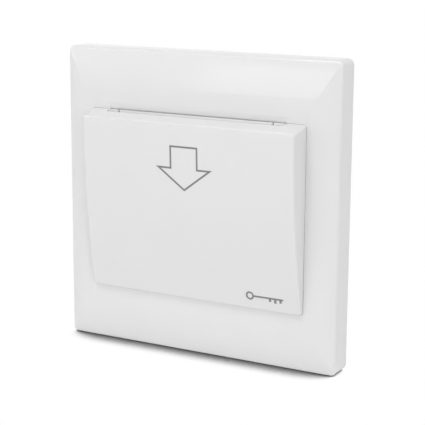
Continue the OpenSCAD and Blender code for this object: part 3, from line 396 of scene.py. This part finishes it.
# Each clear material: two colours, the range of roughness, the index and the share that passes through
CLEARS = {
    "light_lens": ((0.72, 0.83, 0.88), (0.78, 0.87, 0.92), (0.1, 0.16), 1.49, 0.2),
    "fuse_glass": ((0.88, 0.92, 0.91), (0.93, 0.95, 0.94), (0.02, 0.05), 1.5, 0.9),
}
# Each winding: two colours, the range of roughness, the scale of its turns and how metallic it is
WINDINGS = {
    "winding_tape": ((0.72, 0.60, 0.17), (0.82, 0.70, 0.23), (0.2, 0.3), 60, 0.0),
    "copper": ((0.62, 0.28, 0.12), (0.78, 0.40, 0.19), (0.2, 0.32), 420, 1.0),
}
MATERIALS = {}
for maker, table in ((surface, SURFACES), (metal, METALS), (clear, CLEARS), (wound, WINDINGS)):
    for name, values in table.items():
        MATERIALS[name] = maker(name, *values)
MATERIALS["board"] = circuit_board("board", (0.030, 0.165, 0.070), (0.065, 0.26, 0.125))
MATERIALS["capacitor_sleeve"] = sleeve("capacitor_sleeve", (0.022, 0.038, 0.10), (0.035, 0.055, 0.14),
                                       (0.62, 0.64, 0.66))
FRONT = MATERIALS["front_plastic"]
PRINT = MATERIALS["print_ink"]


# Front frame: a ring of rounded rectangles swept through the section of the frame

PLATE_HALF = 43.0
PLATE_CORNER = 1.8
BACK_CHAMFER = 0.3
EDGE_DEPTH = 7.4
EDGE_FILLET_SIDE = 0.7
EDGE_FILLET_FACE = 0.3
EDGE_FILLET_STEPS = 8
LAND_DEPTH = 9.3
SIDE_SLOPE = 6.8
END_SLOPE = 10.6
SLOPE_STEPS = 18
SLOPE_POWER = 1.6
SLOPE_CORNER = 0.9
CREASE = math.radians(2)
MITRE_RADIUS = 0.2
MITRE_RATE = 2.5
CORNER_STEPS = 8
WINDOW_X = 33.76
WINDOW_Z = 26.16
WINDOW_CORNER = 0.95
WINDOW_BACK = 7.3
LAND_CORNER = 1.1
PANEL_DROP = 0.32
SLOT_HALF = 27.8
LEADIN_DROP = 0.22
LEADIN_LENGTH = 2.2
LEADIN_BAND = 0.5
LEADIN_MARGIN = 0.01
LEADIN_END = 0.05
LEADIN_STOPS = (18, 9, 0, -9, -18)
LEADIN_STEPS = 8
RIM_ROUND = 0.07
RIM_TURNS = (0, 30, 60, 90)
SHELL_INNER = 41
SHELL_CORNER = 1.0
SHELL_BACK = 5.4
LEDGE_CORNER = 0.25
FRAME_RIB_PLACES = (-24, 24)
FRAME_RIB_HALF = 3
FRAME_RIB_INNER = 40.2
FRAME_RIB_OUTER = 41.4
FRAME_RIB_DEPTH = 5.6


def rectangle(half_x, half_z, radius, depth, stops, drop):
    points = []
    for quarter in range(4):
        side_x = (1, -1, -1, 1)[quarter]
        side_z = (1, 1, -1, -1)[quarter]
        for step in range(CORNER_STEPS + 1):
            angle = math.radians(90 * (quarter + step / CORNER_STEPS))
            points.append((side_x * (half_x - radius) + radius * math.cos(angle),
                           side_z * (half_z - radius) + radius * math.sin(angle)))
        if quarter == 0:
            points += [(stop, half_z) for stop in stops]
    return [(x, depth(x, z), z - drop) for x, z in points]


def slope_reach(width, depth):
    rise = LAND_DEPTH - EDGE_DEPTH
    bend = math.atan(rise / width) - CREASE
    radius = math.hypot(width, rise) / (2 * math.sin(bend))
    middle = PLATE_HALF - width - radius * math.sin(CREASE)
    base = LAND_DEPTH - radius * math.cos(CREASE)
    return middle + math.sqrt(radius ** 2 - (depth - base) ** 2)


def quad_curve(a, b, c, t):
    return a * (1 - t) ** 2 + 2 * b * t * (1 - t) + c * t ** 2


def leadin_fall(x, z):
    if abs(x) > SLOT_HALF + LEADIN_MARGIN or z < WINDOW_Z - LEADIN_BAND:
        return 0.0
    radius = (LEADIN_LENGTH ** 2 + LEADIN_DROP ** 2) / (2 * LEADIN_DROP)
    run = min(max(WINDOW_Z + LEADIN_LENGTH - z, 0.0), LEADIN_LENGTH)
    return radius - math.sqrt(radius ** 2 - run ** 2)


def flat(level):
    return lambda x, z: level


def ramped(level):
    return lambda x, z: level - leadin_fall(x, z)


def frame_rings():
    stops = (SLOT_HALF + LEADIN_END, SLOT_HALF, *LEADIN_STOPS, -SLOT_HALF, -SLOT_HALF - LEADIN_END)
    rings = []

    def add(half_x, half_z, radius, depth, drop=0.0):
        rings.append(rectangle(half_x, half_z, radius, depth, stops, drop))

    back_half = PLATE_HALF - BACK_CHAMFER
    add(back_half, back_half, PLATE_CORNER - BACK_CHAMFER, flat(0))
    add(PLATE_HALF, PLATE_HALF, PLATE_CORNER, flat(BACK_CHAMFER))
    fillet_start = EDGE_DEPTH - EDGE_FILLET_SIDE
    fillet_end = EDGE_DEPTH + EDGE_FILLET_FACE
    for step in range(EDGE_FILLET_STEPS + 1):
        t = step / EDGE_FILLET_STEPS
        level = quad_curve(fillet_start, EDGE_DEPTH, fillet_end, t)
        half_x = quad_curve(PLATE_HALF, PLATE_HALF, slope_reach(SIDE_SLOPE, fillet_end), t)
        half_z = quad_curve(PLATE_HALF, PLATE_HALF, slope_reach(END_SLOPE, fillet_end), t)
        add(half_x, half_z, PLATE_CORNER + (SLOPE_CORNER - PLATE_CORNER) * t, flat(level))
    for step in range(1, SLOPE_STEPS + 1):
        t = step / SLOPE_STEPS
        level = LAND_DEPTH - (LAND_DEPTH - fillet_end) * (1 - t) ** SLOPE_POWER
        radius = max(MITRE_RADIUS, SLOPE_CORNER * (1 - MITRE_RATE * t))
        add(slope_reach(SIDE_SLOPE, level), slope_reach(END_SLOPE, level), radius, flat(level))
    for step in range(LEADIN_STEPS):
        share = 1 - step / LEADIN_STEPS
        half_x = WINDOW_X + RIM_ROUND + share
        half_z = WINDOW_Z + RIM_ROUND + (LEADIN_LENGTH - RIM_ROUND) * share
        add(half_x, half_z, LAND_CORNER, ramped(LAND_DEPTH), PANEL_DROP)
    for turn in RIM_TURNS:
        out = RIM_ROUND * (1 - math.sin(math.radians(turn)))
        fall = RIM_ROUND * (1 - math.cos(math.radians(turn)))
        add(WINDOW_X + out, WINDOW_Z + out, WINDOW_CORNER + out, ramped(LAND_DEPTH - fall), PANEL_DROP)
    add(WINDOW_X, WINDOW_Z, WINDOW_CORNER, flat(WINDOW_BACK), PANEL_DROP)
    for level in (WINDOW_BACK, SHELL_BACK):
        add(PLATE_HALF - SIDE_SLOPE, PLATE_HALF - END_SLOPE, LEDGE_CORNER, flat(level))
    for level in (SHELL_BACK, BACK_CHAMFER):
        add(SHELL_INNER, SHELL_INNER, SHELL_CORNER, flat(level))
    mouth = SHELL_INNER + BACK_CHAMFER
    add(mouth, mouth, SHELL_CORNER + BACK_CHAMFER, flat(0))
    return rings


def build_front_frame():
    bm, _ = loft(frame_rings(), capped=False)
    shell = new_object("frame_shell", bm)
    ribs = []
    for place in FRAME_RIB_PLACES:
        for side in SIDES:
            reach = sorted((side * FRAME_RIB_INNER, side * FRAME_RIB_OUTER))
            along = (place - FRAME_RIB_HALF, place + FRAME_RIB_HALF)
            ribs.append(new_object("rib", block_mesh(reach, (0, FRAME_RIB_DEPTH), along)))
            ribs.append(new_object("rib", block_mesh(along, (0, FRAME_RIB_DEPTH), reach)))
    cut(shell, ribs, "UNION")
    finish_mesh(shell)
    dress(shell, FRONT, "frame", "front_plastic", "front_frame")


# Card cover: a drafted wedge with a bent face, and a notch in its top wall for the lip of the guide

COVER_X = 33.7
COVER_Z = 26.12
COVER_WALL = 1.6
COVER_FILLET = 0.5
COVER_CORNER = 0.9
COVER_ROWS = 36
COVER_FILLET_STEPS = 7
TOP_FILLET_SHARE = 0.4
HOLLOW_FILLET = 0.15
HOLLOW_CORNER = 0.3
LEAST_CORNER = 0.05
SHOULDER_GAP = 0.05
FACE_TOP = 24.45 - PANEL_DROP
FACE_DEPTH = 15.5
FACE_RADIUS = 241.3
RIM_DEPTH = 7.6
TOP_RISE = 6.2
SIDE_DRAFT = 0.7
TOP_DRAFT = 1.65
NOTCH_DEPTH = 11.2
NOTCH_BOTTOM = 22.4
NOTCH_TOP = 27
CUT_BEYOND = 1
LEG_INNER = 32.0
LEG_OUTER = 33.4
LEG_DEPTHS = (2.7, 7.8)
LEG_PLACES = (-12, 12)
LEG_HALF = 3


def face_at(z, inset=0.0):
    radius = FACE_RADIUS - inset
    return FACE_DEPTH - FACE_RADIUS + math.sqrt(radius ** 2 - (z - FACE_TOP) ** 2)


def draft(depth):
    return max(depth - LAND_DEPTH, 0.0) / TOP_RISE


def cover_ring(inset, top_inset, depth_at, radius):
    def half_x(depth):
        return COVER_X - inset - SIDE_DRAFT * draft(depth)

    top = COVER_Z - PANEL_DROP - top_inset - TOP_DRAFT * draft(depth_at(FACE_TOP))
    bottom = -COVER_Z - PANEL_DROP + inset
    points = []

    def corner(side_x, z_mid, first):
        for step in range(CORNER_STEPS + 1):
            angle = math.radians(first + 90 * step / CORNER_STEPS)
            z = z_mid + radius * math.sin(angle)
            depth = depth_at(z)
            x = side_x * (half_x(depth) - radius) + radius * math.cos(angle)
            points.append((x, depth, z))

    def side(side_x, order):
        for share in order:
            z = bottom + radius + (top - bottom - 2 * radius) * share
            depth = depth_at(z)
            points.append((side_x * half_x(depth), depth, z))

    shares = [(row + 1) / (COVER_ROWS + 1) for row in range(COVER_ROWS)]
    corner(1, top - radius, 0)
    corner(-1, top - radius, 90)
    side(-1, shares[::-1])
    corner(-1, bottom + radius, 180)
    corner(1, bottom + radius, 270)
    side(1, shares)
    return points


def cover_solid(name, inset, rim, fillet, corner):
    def face_below(fall):
        return lambda z: face_at(z, inset) - fall

    def shoulder(z):
        return min(LAND_DEPTH, face_at(z, inset) - fillet - SHOULDER_GAP)

    rings = [cover_ring(inset, inset, lambda z: rim, corner), cover_ring(inset, inset, shoulder, corner)]
    for step in range(COVER_FILLET_STEPS + 1):
        angle = math.radians(90 * step / COVER_FILLET_STEPS)
        side_in = fillet * (1 - math.cos(angle))
        top_in = side_in * TOP_FILLET_SHARE
        level = face_below(fillet * (1 - math.sin(angle)))
        radius = max(corner - side_in, LEAST_CORNER)
        rings.append(cover_ring(inset + side_in, inset + top_in, level, radius))
    bm, loops = loft(rings, capped=True)
    bm.faces.new(loops[0][::-1])
    last = loops[-1]
    arcs = 2 * (CORNER_STEPS + 1)
    left = last[arcs:arcs + COVER_ROWS]
    right = last[2 * arcs + COVER_ROWS:][::-1]
    bm.faces.new(last[:arcs] + [left[0], right[0]])
    for row in range(COVER_ROWS - 1):
        bm.faces.new((right[row], left[row], left[row + 1], right[row + 1]))
    bm.faces.new([right[-1], left[-1]] + last[arcs + COVER_ROWS:2 * arcs + COVER_ROWS])
    return new_object(name, bm)


def build_card_cover():
    shell = cover_solid("cover_shell", 0.0, RIM_DEPTH, COVER_FILLET, COVER_CORNER)
    below = RIM_DEPTH - CUT_BEYOND
    hollow = cover_solid("hollow", COVER_WALL, below, HOLLOW_FILLET, HOLLOW_CORNER)
    notch = block_mesh((-SLOT_HALF, SLOT_HALF), (below, NOTCH_DEPTH), (NOTCH_BOTTOM, NOTCH_TOP))
    cut(shell, [hollow, new_object("notch", notch)], "DIFFERENCE")
    legs = []
    for side in SIDES:
        reach = sorted((side * LEG_INNER, side * LEG_OUTER))
        for place in LEG_PLACES:
            along = (place - LEG_HALF, place + LEG_HALF)
            legs.append(new_object("leg", block_mesh(reach, LEG_DEPTHS, along)))
    cut(shell, legs, "UNION")
    finish_mesh(shell)
    dress(shell, FRONT, "cover", "front_plastic", "card_cover")


# Card guide inside the cover: the lip that shows in the notch, a cheek on each side, a crossbar and two ribs

LIP_HALF = 24.1
LIP_TOP = 26.1 - PANEL_DROP
LIP_DEPTH = 9.42
LIP_THICKNESS = 0.75
LIP_ROUND = 0.2
CHEEK_INNER = 24.6
CHEEK_OUTER = 27.7
CHEEK_DEPTH = 9.2
GUIDE_HALF = 25.7
GUIDE_THICKNESS = 1.2
GUIDE_END = -3.7
GUIDE_BAR_BOTTOM = 22.4
GUIDE_BAR_DEPTH = 12.55
GUIDE_PLAY = 0.06
GUIDE_STEPS = 14
GUIDE_LAP = 0.3


def under_wall(depth):
    return COVER_Z - PANEL_DROP - COVER_WALL - GUIDE_PLAY - TOP_DRAFT * draft(depth)


def lip_outline(back, front):
    quarter = LIP_ROUND / 4
    return [
        (GUIDE_BAR_BOTTOM, back),
        (LIP_TOP - LIP_ROUND, back),
        (LIP_TOP - quarter, back + quarter),
        (LIP_TOP, back + LIP_ROUND),
        (LIP_TOP, front - LIP_ROUND),
        (LIP_TOP - quarter, front - quarter),
        (LIP_TOP - LIP_ROUND, front),
        (GUIDE_BAR_BOTTOM, front),
    ]


def build_card_guide():
    front = LIP_DEPTH + LIP_THICKNESS
    bar = [
        (GUIDE_BAR_BOTTOM, LIP_DEPTH),
        (under_wall(LIP_DEPTH), LIP_DEPTH),
        (under_wall(GUIDE_BAR_DEPTH), GUIDE_BAR_DEPTH),
        (GUIDE_BAR_BOTTOM, GUIDE_BAR_DEPTH),
    ]
    guide = new_object("guide", prism_mesh((-LIP_HALF, LIP_HALF), lip_outline(LIP_DEPTH, front)))
    joined = [new_object("bar", prism_mesh((-CHEEK_OUTER, CHEEK_OUTER), bar))]
    length = GUIDE_BAR_BOTTOM - GUIDE_END
    stations = [GUIDE_END + length * step / GUIDE_STEPS for step in range(GUIDE_STEPS + 1)]
    rib = [(z, face_at(z, COVER_WALL) - GUIDE_PLAY) for z in stations]
    rib = [(stations[0], LIP_DEPTH), *rib, (stations[-1] + GUIDE_LAP, LIP_DEPTH)]
    for side in SIDES:
        cheek = sorted((side * CHEEK_INNER, side * CHEEK_OUTER))
        joined.append(new_object("cheek", prism_mesh(cheek, lip_outline(CHEEK_DEPTH, front))))
        across = sorted((side * GUIDE_HALF, side * (GUIDE_HALF - GUIDE_THICKNESS)))
        joined.append(new_object("rib", prism_mesh(across, rib)))
    cut(guide, joined, "UNION")
    guide.name = "slot_guide"
    finish_mesh(guide)
    dress(guide, FRONT, "cover", "front_plastic", "card_guide")


# Arrow and key sign printed on the face of the cover

PRINT_LIFT = 0.015
PRINT_SINK = 0.05
ARROW_MIDDLE = -0.25
ARROW_HALF_HEAD = 8.06
ARROW_HALF_SHAFT = 4.14
ARROW_TIP = 5.8
ARROW_BASE = 11.75
ARROW_TOP = 17.82
ARROW_HALF_LINE = 0.26
ARROW_STEPS = 8
KEY_MIDDLE = -22.5
KEY_BOW_X = 18.4
KEY_BOW_IN = 0.72
KEY_BOW_OUT = 1.25
KEY_BOW_SIDES = 32
KEY_BOW_STEPS = 1
KEY_HALF_SHAFT = 0.26
KEY_LAP = 0.1
KEY_END = 28.6
KEY_TEETH = ((24.2, 0.75), (25.8, 1.0), (27.4, 0.75))
KEY_TOOTH_WIDTH = 0.7
KEY_BLADE_LIFT = PRINT_LIFT - 0.003


def on_face(bm, x, z, lift):
    return bm.verts.new(to_frame((x, face_at(z) + lift, z)))


def outline_band(points, half_width):
    count = len(points)
    inner, outer = [], []
    for i in range(count):
        before, here, after = (Vector(points[(i + k) % count]) for k in (-1, 0, 1))
        first = (here - before).normalized()
        second = (after - here).normalized()
        normals = [Vector((-d.y, d.x)) for d in (first, second)]
        mitre = (normals[0] + normals[1]).normalized()
        reach = half_width / mitre.dot(normals[0])
        inner.append(here + mitre * reach)
        outer.append(here - mitre * reach)
    return inner, outer


def print_band(name, inner, outer, steps):
    bm = bmesh.new()
    loops = []
    for rim, lift in ((inner, PRINT_LIFT), (outer, PRINT_LIFT), (outer, -PRINT_SINK), (inner, -PRINT_SINK)):
        loop = []
        for i in range(len(rim)):
            ahead = rim[(i + 1) % len(rim)]
            for step in range(steps):
                x, z = rim[i].lerp(ahead, step / steps)
                loop.append(on_face(bm, x, z, lift))
        loops.append(loop)
    for k in range(len(loops)):
        join_loops(bm, loops[k], loops[(k + 1) % len(loops)])
    dress(new_object(name, bm), PRINT, "cover", "front_plastic")


def build_arrow():
    corners = [
        (0, ARROW_TIP),
        (ARROW_HALF_HEAD, ARROW_BASE),
        (ARROW_HALF_SHAFT, ARROW_BASE),
        (ARROW_HALF_SHAFT, ARROW_TOP),
        (-ARROW_HALF_SHAFT, ARROW_TOP),
        (-ARROW_HALF_SHAFT, ARROW_BASE),
        (-ARROW_HALF_HEAD, ARROW_BASE),
    ]
    inner, outer = outline_band([(x + ARROW_MIDDLE, z) for x, z in corners], ARROW_HALF_LINE)
    print_band("arrow_print", inner, outer, ARROW_STEPS)


def key_circle(radius):
    turns = [math.radians(360 * i / KEY_BOW_SIDES) for i in range(KEY_BOW_SIDES)]
    return [Vector((KEY_BOW_X + radius * math.cos(a), KEY_MIDDLE + radius * math.sin(a))) for a in turns]


def build_key_sign():
    print_band("key_bow_print", key_circle(KEY_BOW_IN), key_circle(KEY_BOW_OUT), KEY_BOW_STEPS)
    start = KEY_BOW_X + KEY_BOW_OUT - KEY_LAP
    low = KEY_MIDDLE - KEY_HALF_SHAFT
    high = KEY_MIDDLE + KEY_HALF_SHAFT
    outline = [(start, high), (start, low)]
    for tooth, drop in KEY_TEETH:
        end = tooth + KEY_TOOTH_WIDTH
        outline += [(tooth, low), (tooth, low - drop), (end, low - drop), (end, low)]
    outline += [(KEY_END, low), (KEY_END, high)]
    bm = bmesh.new()
    ends = [[on_face(bm, x, z, lift) for x, z in outline] for lift in (KEY_BLADE_LIFT, -PRINT_SINK)]
    close_prism(bm, ends)
    dress(new_object("key_blade_print", bm), PRINT, "cover", "front_plastic")


# The other pieces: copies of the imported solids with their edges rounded, in millimetres

EDGE_WIDTHS = {
    "mounting_base": 0.3,
    "card_tray": 0.15,
    "rear_housing": 0.4,
    "terminal_block": 0.12,
    "card_lever": 0.2,
    "switch_body": 0.15,
    "switch_plunger": 0.15,
    "relay_base": 0.2,
    "relay_cover": 0.3,
    "link_strip": 0.1,
    "reader_chip": 0.04,
    "rectifier": 0.2,
    "film_capacitor": 0.5,
    "transformer_core": 0.25,
    "transformer_winding": 0.3,
    "surge_disc": 0.1,
    "fuse_caps": 0.05,
    "clamp_cages": 0.12,
    "clamp_screws": 0.1,
    "tray_screws": 0.12,
    "housing_screws": 0.12,
    "board_screws": 0.12,
    "relay_yoke": 0.08,
    "link_pins": 0.1,
    "switch_terminals": 0.06,
    "lever_pin": 0.15,
    "indicator_lights": 0.3,
    "reader_board": 0.1,
    "power_board": 0.1,
    "smoothing_capacitor": 0.15,
    "fuse_tube": 0.1,
}
# Where only some edges are rounded: those whose two ends both lie in this region
EDGE_PICKS = {
    "mounting_base": lambda x, depth, z: max(abs(x), abs(z)) > 38,
    "card_tray": lambda x, depth, z: depth > 9.5 or z < -22.9,
    "rear_housing": lambda x, depth, z: depth < -27.9 or abs(x) > 25.4,
    "reader_board": lambda x, depth, z: abs(x) > 24.9 or z > 22.9 or z < -3.9,
    "power_board": lambda x, depth, z: max(abs(x), abs(z)) > 21.9,
}
SMOOTHED_NODES = ("antenna_coil", "relay_armature", "relay_contact")
COIL_BORE = 1.9
COIL_TURNS = 24
COIL_STEPS = 6
COIL_SIDES = 56
COIL_GAP = 0.02


def soften(node, width):
    pick = EDGE_PICKS.get(node, lambda x, depth, z: True)
    bm = node_mesh(node)
    sharp = []
    for edge in bm.edges:
        ends = [vert.co / MM for vert in edge.verts]
        if edge.calc_face_angle(0) > BEVEL_ANGLE and all(pick(end.x, -end.y, end.z) for end in ends):
            sharp.append(edge)
    bmesh.ops.bevel(bm, geom=sharp, offset=width * MM, offset_type="OFFSET", segments=2, profile=0.5,
                    affect="EDGES", clamp_overlap=False, miter_outer="ARC")
    piece = new_object(node + "_form", bm)
    step = piece.modifiers.new("normals", "WEIGHTED_NORMAL")
    step.keep_sharp = True
    apply_modifiers(piece)
    return piece


def smooth_copy(node):
    return new_object(node + "_form", node_mesh(node), ROUND_ANGLE)


def lathe(name, centre, profile, sides):
    x, z = centre
    turns = [math.radians(360 * i / sides) for i in range(sides)]
    rings = [[(x + radius * math.cos(a), depth, z + radius * math.sin(a)) for a in turns]
             for radius, depth in profile]
    bm, _ = loft(rings, capped=False)
    return new_object(name, bm)


def build_relay_coil():
    low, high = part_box("relay_coil")
    centre = ((low[0] + high[0]) / (2 * MM), (low[2] + high[2]) / (2 * MM))
    outer = (high[0] - low[0]) / (2 * MM)
    back, front = -high[1] / MM, -low[1] / MM
    wire = (front - back) / COIL_TURNS
    profile = [(COIL_BORE, front), (COIL_BORE, back)]
    for turn in range(COIL_TURNS):
        for step in range(COIL_STEPS + 1):
            angle = math.pi * step / COIL_STEPS
            radius = outer - wire / 2 + wire / 2 * math.sin(angle)
            along = turn + COIL_GAP + (0.5 - COIL_GAP) * (1 - math.cos(angle))
            profile.append((radius, back + wire * along))
    return lathe("relay_coil_turns", centre, profile, COIL_SIDES)


def build_lever_spring():
    piece = smooth_copy("lever_spring")
    paint(piece, MATERIALS[SLOT_OF["lever_spring"]])
    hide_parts("lever_spring")
    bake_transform(piece)


def dress_node(piece, node):
    dress(piece, MATERIALS[SLOT_OF[node]], BODY_OF[node], SLOT_OF[node], node)


build_front_frame()
build_card_cover()
build_card_guide()
build_arrow()
build_key_sign()
for node, width in EDGE_WIDTHS.items():
    dress_node(soften(node, width), node)
dress_node(build_relay_coil(), "relay_coil")
for node in SMOOTHED_NODES:
    dress_node(smooth_copy(node), node)
build_lever_spring()


# Camera

AZIMUTH = math.radians(28.828)
ELEVATION = math.radians(12.326)
ROLL = math.radians(0.328)
DISTANCE = 0.37671
LENS = 111.72
SENSOR = 36
CLIP_NEAR = 0.01
CLIP_FAR = 50
LOOK_AT = Vector((0.49, 0, -3.168)) * MM


def build_camera():
    back = Vector((math.sin(AZIMUTH) * math.cos(ELEVATION),
                   -math.cos(AZIMUTH) * math.cos(ELEVATION),
                   math.sin(ELEVATION)))
    level = Vector((math.cos(AZIMUTH), math.sin(AZIMUTH), 0))
    upright = back.cross(level)
    right = level * math.cos(ROLL) + upright * math.sin(ROLL)
    up = upright * math.cos(ROLL) - level * math.sin(ROLL)
    lens = bpy.data.cameras.new("camera")
    lens.lens = LENS
    lens.sensor_width = SENSOR
    lens.clip_start = CLIP_NEAR
    lens.clip_end = CLIP_FAR
    camera = bpy.data.objects.new("camera", lens)
    bpy.context.scene.collection.objects.link(camera)
    camera.matrix_world = Matrix((right, up, back)).transposed().to_4x4()
    camera.location = LOOK_AT + back * DISTANCE
    bpy.context.scene.camera = camera


# Floor, world and lamps, in metres: where the object stands close to the floor, the floor's colour is
# painted darker as a contact shadow

FLOOR = -0.043
FLOOR_REACH = 40.0
FLOOR_TONE = 0.9
SHADOW_SAMPLES = 16
SHADOW_SPAN = 0.012
SHADOW_LEAN = (0.03, 0.61, 0.79)
SHADOW_DEEP = 0.24
SHADOW_OPEN = 0.6
# The painted contact shadow's colour on the floor, at the contact and at its rim
PAINTED_SHADOW_TONE = 0.11
PAINTED_SHADOW_RIM_TONE = 0.5
SKY_LEVEL = 0.5
SKY_LEAN = (0.2, -0.06, 0.02)
WHITE = (1, 1, 1, 1)
# Each lamp: its place, the point it faces, its width and height, and its power
LAMPS = {
    "key": ((-0.43, -1.06, 0.2), (0, 0, 0.02), (0.3, 0.48), 0.55),
    "top": ((-0.12, -0.45, 1.05), (0, 0, 0), (0.6, 0.5), 4.6),
    "fill": ((1.0, -0.75, 0.25), (0, 0, 0), (0.7, 0.6), 2.65),
    "left": ((-1.0, -0.75, 0.1), (0, 0, 0), (0.6, 0.6), 2.3),
    "rear": ((-1.1, 0.62, 0.1), (0, 0, 0), (0.6, 0.6), 3.4),
}


def ray_is_seen(tree):
    path = tree.nodes.new("ShaderNodeLightPath").outputs
    seen = maths(tree, "MAXIMUM", path["Is Camera Ray"], path["Is Glossy Ray"])
    return maths(tree, "MAXIMUM", seen, path["Is Transmission Ray"])


def mix_shaders(tree, factor, first, second, output):
    mix = tree.nodes.new("ShaderNodeMixShader")
    tree.links.new(factor, mix.inputs["Fac"])
    tree.links.new(first.outputs[0], mix.inputs[1])
    tree.links.new(second.outputs[0], mix.inputs[2])
    out = tree.nodes.new(output)
    tree.links.new(mix.outputs[0], out.inputs["Surface"])


def floor_material():
    material = bpy.data.materials.new("floor")
    material.use_nodes = True
    tree = material.node_tree
    tree.nodes.clear()
    lean = tree.nodes.new("ShaderNodeCombineXYZ")
    for socket, value in zip(lean.inputs, SHADOW_LEAN):
        socket.default_value = value
    # Painted contact shadow: an ambient-occlusion mask darkens the floor's own colour near the object, on
    # top of the real shade that the lamps cast there
    near = tree.nodes.new("ShaderNodeAmbientOcclusion")
    near.samples = SHADOW_SAMPLES
    near.inputs["Distance"].default_value = SHADOW_SPAN
    tree.links.new(lean.outputs[0], near.inputs["Normal"])
    open_share = map_range(tree, near.outputs["AO"], SHADOW_DEEP, SHADOW_OPEN)
    open_share.interpolation_type = "SMOOTHSTEP"
    painted_shadow_tone = map_range(tree, near.outputs["AO"], SHADOW_DEEP, SHADOW_OPEN, PAINTED_SHADOW_TONE, PAINTED_SHADOW_RIM_TONE)
    seen = ray_is_seen(tree)
    change = maths(tree, "SUBTRACT", painted_shadow_tone.outputs["Result"], FLOOR_TONE)
    shade = maths(tree, "ADD", maths(tree, "MULTIPLY", seen, change), FLOOR_TONE)
    white = tree.nodes.new("ShaderNodeBsdfDiffuse")
    tree.links.new(shade, white.inputs["Color"])
    glow = tree.nodes.new("ShaderNodeEmission")
    shown = maths(tree, "MULTIPLY", seen, open_share.outputs["Result"])
    mix_shaders(tree, shown, white, glow, "ShaderNodeOutputMaterial")
    return material


def build_floor():
    bm = bmesh.new()
    for x, y in ((-FLOOR_REACH, -FLOOR_REACH), (FLOOR_REACH, -FLOOR_REACH), (0, FLOOR_REACH)):
        bm.verts.new((x, y, FLOOR))
    bm.faces.new(bm.verts)
    floor = new_object("floor", bm)
    floor.data.materials.append(floor_material())


def build_world():
    world = bpy.data.worlds.new("world")
    bpy.context.scene.world = world
    world.use_nodes = True
    tree = world.node_tree
    tree.nodes.clear()
    lean = tree.nodes.new("ShaderNodeVectorMath")
    lean.operation = "DOT_PRODUCT"
    lean.inputs[1].default_value = SKY_LEAN
    tree.links.new(tree.nodes.new("ShaderNodeTexCoord").outputs["Generated"], lean.inputs[0])
    soft = tree.nodes.new("ShaderNodeBackground")
    soft.inputs["Color"].default_value = WHITE
    level = maths(tree, "ADD", lean.outputs["Value"], SKY_LEVEL)
    tree.links.new(level, soft.inputs["Strength"])
    shown = tree.nodes.new("ShaderNodeBackground")
    shown.inputs["Color"].default_value = WHITE
    shown.inputs["Strength"].default_value = 1.0
    mix_shaders(tree, ray_is_seen(tree), soft, shown, "ShaderNodeOutputWorld")


def softbox(name, place, aim, size, power):
    lamp = bpy.data.lights.new(name, "AREA")
    lamp.shape = "RECTANGLE"
    lamp.size, lamp.size_y = size
    lamp.energy = power
    holder = bpy.data.objects.new(name, lamp)
    bpy.context.scene.collection.objects.link(holder)
    holder.location = place
    holder.rotation_mode = "QUATERNION"
    holder.rotation_quaternion = (Vector(place) - Vector(aim)).to_track_quat("Z", "Y")


build_camera()
build_floor()
build_world()
for name, values in LAMPS.items():
    softbox(name, *values)

bpy.context.scene.view_settings.view_transform = "Standard"
